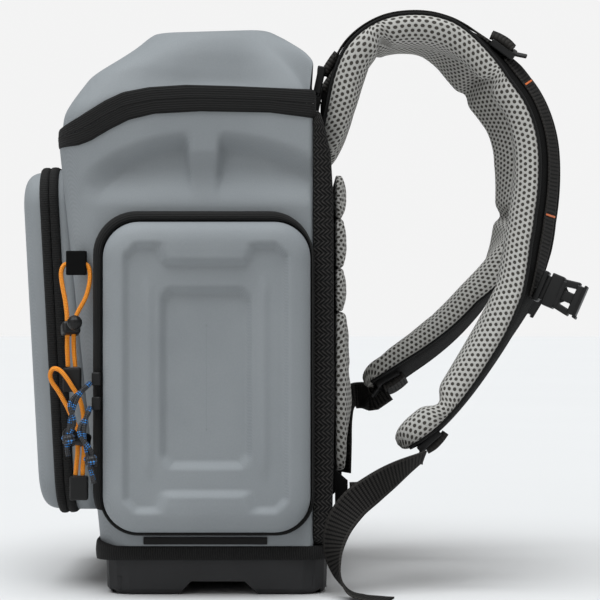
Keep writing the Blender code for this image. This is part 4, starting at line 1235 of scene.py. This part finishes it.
def lower_feed(name, side):
    """The lower webbing's way from the pack's wing to its lock, each place with a width direction."""
    lock, tangent, width, normal = lock_place(name, side)

    def in_lock(along, out):
        return lock + tangent * along + normal * out

    upright = np.array((0.0, 0.0, 1.0))
    wing = np.array((STRAP_FOOT[0] + 0.0008, side * STRAP_FOOT[1], STRAP_FOOT[2]))
    if side == FAR:
        outboard = np.array((-0.5, 0.87, 0.0))
        return [
            (wing, outboard), ((0.1145, 0.125, 0.105), outboard), ((0.115, 0.1245, 0.13), outboard),
            ((0.1185, 0.122, 0.149), unit(upright + outboard)), ((0.13, 0.117, 0.153), upright),
            (in_lock(0.02, 0.006), upright), (in_lock(0.006, 0.004), upright),
        ]
    middle = (wing + in_lock(0.02, 0.009)) / 2 + np.array((0.0, side * 0.002, -0.004))
    inside = ((0.02, 0.0085), (0.0125, 0.0062), (0.0075, 0.0046), (0.0045, 0.0012), (0.0043, -0.0022))
    return [
        (wing, upright), (wing + np.array((0.01, 0.0, 0.001)), upright), (middle, unit(upright + width)),
        *((in_lock(along, out), width) for along, out in inside),
    ]


LOCK_FRAME = (
    ((0, 15, 0), (23.5, 4.2, 6.2)), ((0, -15, 0), (23.5, 4.2, 6.2)),
    ((-9.8, 0, 0), (3.8, 32, 5.2)), ((9.8, 0, 0.6), (4.2, 33, 6.2)),
)
FOLD_WIDTH = 0.0262
YOKE_SPREAD = 0.0785
YOKE_ROLL = mm(((93, 437), (96.5, 443), (100.5, 449), (104, 453.5)))
ROLL = mm(((-15, 3.4), (-8, 5), (0, 5.6), (7, 4.4)))


def ladder_lock(name, at, turn, body, node):
    """Ladder lock with its fold of webbing; its X runs along the webbing and its Z out of the strap."""
    bar = ((-1, 0, 1.2), (3.4, 29, 3.4))
    tongue = ((15, 0, 3.6), (12, 19, 2.4), -24)
    place(blocks(f"{name}_frame", (*LOCK_FRAME, bar, tongue), "plastic", turn, at, 0.0011), body, node)
    line = smooth([(x, 0.0, z) for x, z in ROLL], 40) @ turn.T + at
    place(woven(f"{name}_fold", line, turn[:, 1], FOLD_WIDTH, 0.0058), body)


def ladder_locks(name, side):
    """The chest lock, the lower lock and the yoke's lock of one side, with their webbing."""
    body = f"strap_{name}"
    centre, tangent, width, normal = strap_frame(name, side, CHEST_LOCK)
    turn = joined(tangent, width, normal)
    out, along = STRAP_THICKNESS / 2 + 0.0046, 0.01
    at = centre + normal * out + tangent * along
    ladder_lock(f"chest_lock_skin_{name}", at, turn, body, f"chest_lock_{name}")
    at, tangent, width, normal = lock_place(name, side)
    turn = joined(tangent, width, normal)
    ladder_lock(f"lower_lock_skin_{name}", at, turn, body, f"lower_lock_{name}")
    turn = np.array(Matrix.Rotation(math.radians(-78), 3, "Y"))
    at = np.array((0.0885, side * YOKE_SPREAD, 0.4305))
    plate = ((0, 0, 0), (18, 29, 3))
    tongue = ((-17.5, 0, 3), (15, 12, 2.4), 20)
    lock = blocks(f"yoke_lock_skin_{name}", (*LOCK_FRAME, plate, tongue), "plastic", turn, at, 0.0011)
    place(lock, "pack", f"yoke_lock_{name}")
    line = smooth([(x, side * YOKE_SPREAD, z) for x, z in YOKE_ROLL], 24)
    place(woven(f"yoke_roll_{name}", line, np.array((0.0, 1.0, 0.0)), FOLD_WIDTH, 0.0068), "pack")
    lifter_root(name, side)


def lifter_root(name, side):
    """Load-lifter webbing between the yoke's lock and the strap."""
    centre, tangent, width, normal = strap_frame(name, side, LIFTER_START)
    end = centre + normal * (STRAP_THICKNESS / 2 + WEBBING / 2 + WEBBING_LIFT)
    start = np.array((0.0925, side * YOKE_SPREAD, 0.436))
    middle = (start + end) / 2 + np.array((-0.001, 0.0, 0.001))
    line = smooth((start, middle, end, end + tangent * 0.004), 36)
    piece = woven(f"lifter_root_{name}", line, width)
    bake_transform(piece)


# From the strap outwards: foot, neck, body, collar, two prongs, tongue, crossed ribs and end bars.
BUCKLE_PARTS = (
    ((2.8, 0, 0), (5, 11, 27)), ((6.8, 0, 0), (5, 5, 21.5)), ((14, 0, 0), (11, 10.5, 28.5)),
    ((20, 0, 0), (6, 9, 22.5)), ((26.5, 0, 11.2), (15, 8.5, 5.8), -9),
    ((26.5, 0, -11.2), (15, 8.5, 5.8), 9), ((27, 0, 0), (14, 5, 9)),
    ((28.5, 0, 0), (21.5, 3.6, 4), 40), ((28.5, 0, 0), (21.5, 3.6, 4), -40),
    ((35, 0, 0), (6, 9.5, 25.5)), ((38.8, 0, 0), (2.6, 9, 29.2)), ((40, 0, 13.6), (2.2, 8.8, 2.6)),
)


def hardware():
    """Ladder locks, buckles and the finish of what the CAD already shapes well enough."""
    for name, side in SIDES.items():
        ladder_locks(name, side)
        paint("webbing", f"anchor_wing_{name}")
        centre, _, width, normal = strap_frame(name, side, BUCKLE)
        down = np.cross(normal, width)
        turn = joined(normal, width, down)
        out, raised = STRAP_THICKNESS / 2 + WEBBING + WEBBING_LIFT, 0.0085
        at = centre + normal * out - down * raised
        buckle = blocks(f"buckle_{name}", BUCKLE_PARTS, "plastic", turn, at)
        place(buckle, f"sternum_{name}", f"sternum_buckle_{name}")
    paint("webbing", "carry_handle", "cord_loop_upper")
    paint("plastic", "near_slider_upper", "near_slider_lower", "far_slider", "front_slider")
    paint("plastic", "lid_slider_a", "lid_slider_b")
    for level in ("upper", "lower"):
        paint("plastic", f"cord_lock_{level}", f"lock_button_{level}", f"cord_end_{level}")


# ---------------------------------------------------------------- cords


# Diameters of the cords and half the width of a knot.
BUNGEE = 0.0038
PARACORD = 0.004
KNOT = 0.0032


def free_cord(name, route, diameter, count, look, body, node):
    """A soft cord along a route."""
    line = smooth(route, count)
    piece = tube(name, line, diameter / 2, look, 12)
    length = float(distances(line)[-1])
    place(piece, body, node)


def knot(name, centre, size, body):
    """A lumpy knot: two turns of cord."""
    turn = np.linspace(0, 4 * math.pi, 60)
    ring = size * joined(
        np.cos(turn) * (1 + 0.15 * np.sin(turn * 1.5)), np.sin(turn) * 0.75,
        (turn / (4 * math.pi) - 0.5) * 1.9,
    )
    return place(tube(name, centre + ring, 0.0022, "paracord", 10), body)


def second_strand(name, route, body):
    """The other strand of a doubled pull, wound loosely round the first."""
    line = smooth(route, 60)
    share = np.linspace(0, 1, len(line))
    turns, widest = 1.6, 0.0042
    turn = 2 * math.pi * turns * share
    apart = widest * np.sin(math.pi * np.clip(share * 1.15, 0, 1))
    line[:, 0] += apart * np.cos(turn)
    line[:, 1] += apart * 0.35 * np.sin(turn) - 0.0006
    return place(tube(name, line, 0.0019, "paracord", 10), body)


def cords():
    """The rod holders' elastic cords, and the paracord pulls of the near side zip."""
    knots = {
        "upper": knot("knot_upper", mm((-115.5, -176.4, 130)), KNOT, "pull_upper"),
        "lower": knot("knot_lower", mm((-97.5, -176.2, 113)), KNOT, "pull_lower"),
    }
    for level, route in (("upper", BUNGEE_UPPER_ROUTE), ("lower", BUNGEE_LOWER_ROUTE)):
        name, node = f"rod_cord_{level}", f"bungee_{level}"
        held = [f"cord_lock_{level}", f"cord_end_{level}", f"lock_button_{level}"]
        free_cord(name, route, BUNGEE, 150, "bungee", "pack", node)
    for level, route in (("upper", PULL_UPPER_ROUTE), ("lower", PULL_LOWER_ROUTE)):
        name, body, node = f"pull_cord_{level}", f"pull_{level}", f"zip_pull_{level}"
        held = [knots[level], second_strand(f"pull_strand_{level}", route, body)]
        free_cord(name, route, PARACORD, 60, "paracord", body, node)


# ---------------------------------------------------------------- studio


def camera():
    """Straight on from the near side."""
    data = bpy.data.cameras.new("camera")
    data.lens = 124.0
    data.sensor_width = 36.0
    data.clip_end = 30.0
    made = bpy.data.objects.new("camera", data)
    made.location = (0.072 + SHIFT[0], -1.85, 0.2435)
    made.rotation_euler = (math.radians(90), 0.0, 0.0)
    bpy.context.scene.collection.objects.link(made)
    bpy.context.scene.camera = made


def sunlight(name, towards, strength, angle, colour=(1.0, 1.0, 1.0)):
    """An even soft light that comes from the given direction."""
    data = bpy.data.lights.new(name, "SUN")
    data.energy = strength
    data.angle = math.radians(angle)
    data.color = colour
    made = bpy.data.objects.new(name, data)
    made.rotation_euler = Vector(towards).to_track_quat("Z", "Y").to_euler()
    bpy.context.scene.collection.objects.link(made)


def studio():
    """A white room: even light from all round, a broad light from above and a pale floor."""
    world = bpy.data.worlds.new("studio")
    world.use_nodes = True
    nodes, links = world.node_tree.nodes, world.node_tree.links
    ambient = nodes["Background"]
    ambient.inputs["Color"].default_value = (1.0, 1.0, 1.0, 1.0)
    ambient.inputs["Strength"].default_value = 0.28
    backdrop = nodes.new("ShaderNodeBackground")
    backdrop.inputs["Color"].default_value = (1.0, 1.0, 1.0, 1.0)
    backdrop.inputs["Strength"].default_value = 0.9
    seen_directly = nodes.new("ShaderNodeLightPath")
    choice = nodes.new("ShaderNodeMixShader")
    links.new(seen_directly.outputs["Is Camera Ray"], choice.inputs[0])
    links.new(ambient.outputs[0], choice.inputs[1])
    links.new(backdrop.outputs[0], choice.inputs[2])
    links.new(choice.outputs[0], nodes["World Output"].inputs[0])
    bpy.context.scene.world = world
    bpy.context.scene.view_settings.view_transform = "Standard"
    sunlight("top", (-0.1, -0.25, 0.96), 3.3, 50, (0.95, 0.98, 1.0))
    sunlight("key", (-0.45, -0.8, 0.4), 0.25, 40)
    mesh = bpy.data.meshes.new("floor")
    size, top = 12.0, -0.0003
    mesh.from_pydata(
        [(-size, -size, top), (size, -size, top), (size, size, top), (-size, size, top)], [],
        [(0, 1, 2, 3)],
    )
    m = Weave("floor", (0.685, 0.685, 0.685), 0.9, specular=0.0)
    m.colour(m.mix(m.noise(2.0), (0.675, 0.675, 0.675), (0.695, 0.695, 0.695)))
    mesh.materials.append(m.material)
    floor = bpy.data.objects.new("floor", mesh)
    bpy.context.scene.collection.objects.link(floor)


camera()
cords()
case_skin()
lid_skin()
lid_zip()
side_doors()
front_pocket()
base()
back()
for strap_name, strap_side in SIDES.items():
    strap(strap_name, strap_side)
place(routed("tail_near", TAIL_ROUTE, 130), "strap_near", "webbing_tail_near")
hardware()
studio()
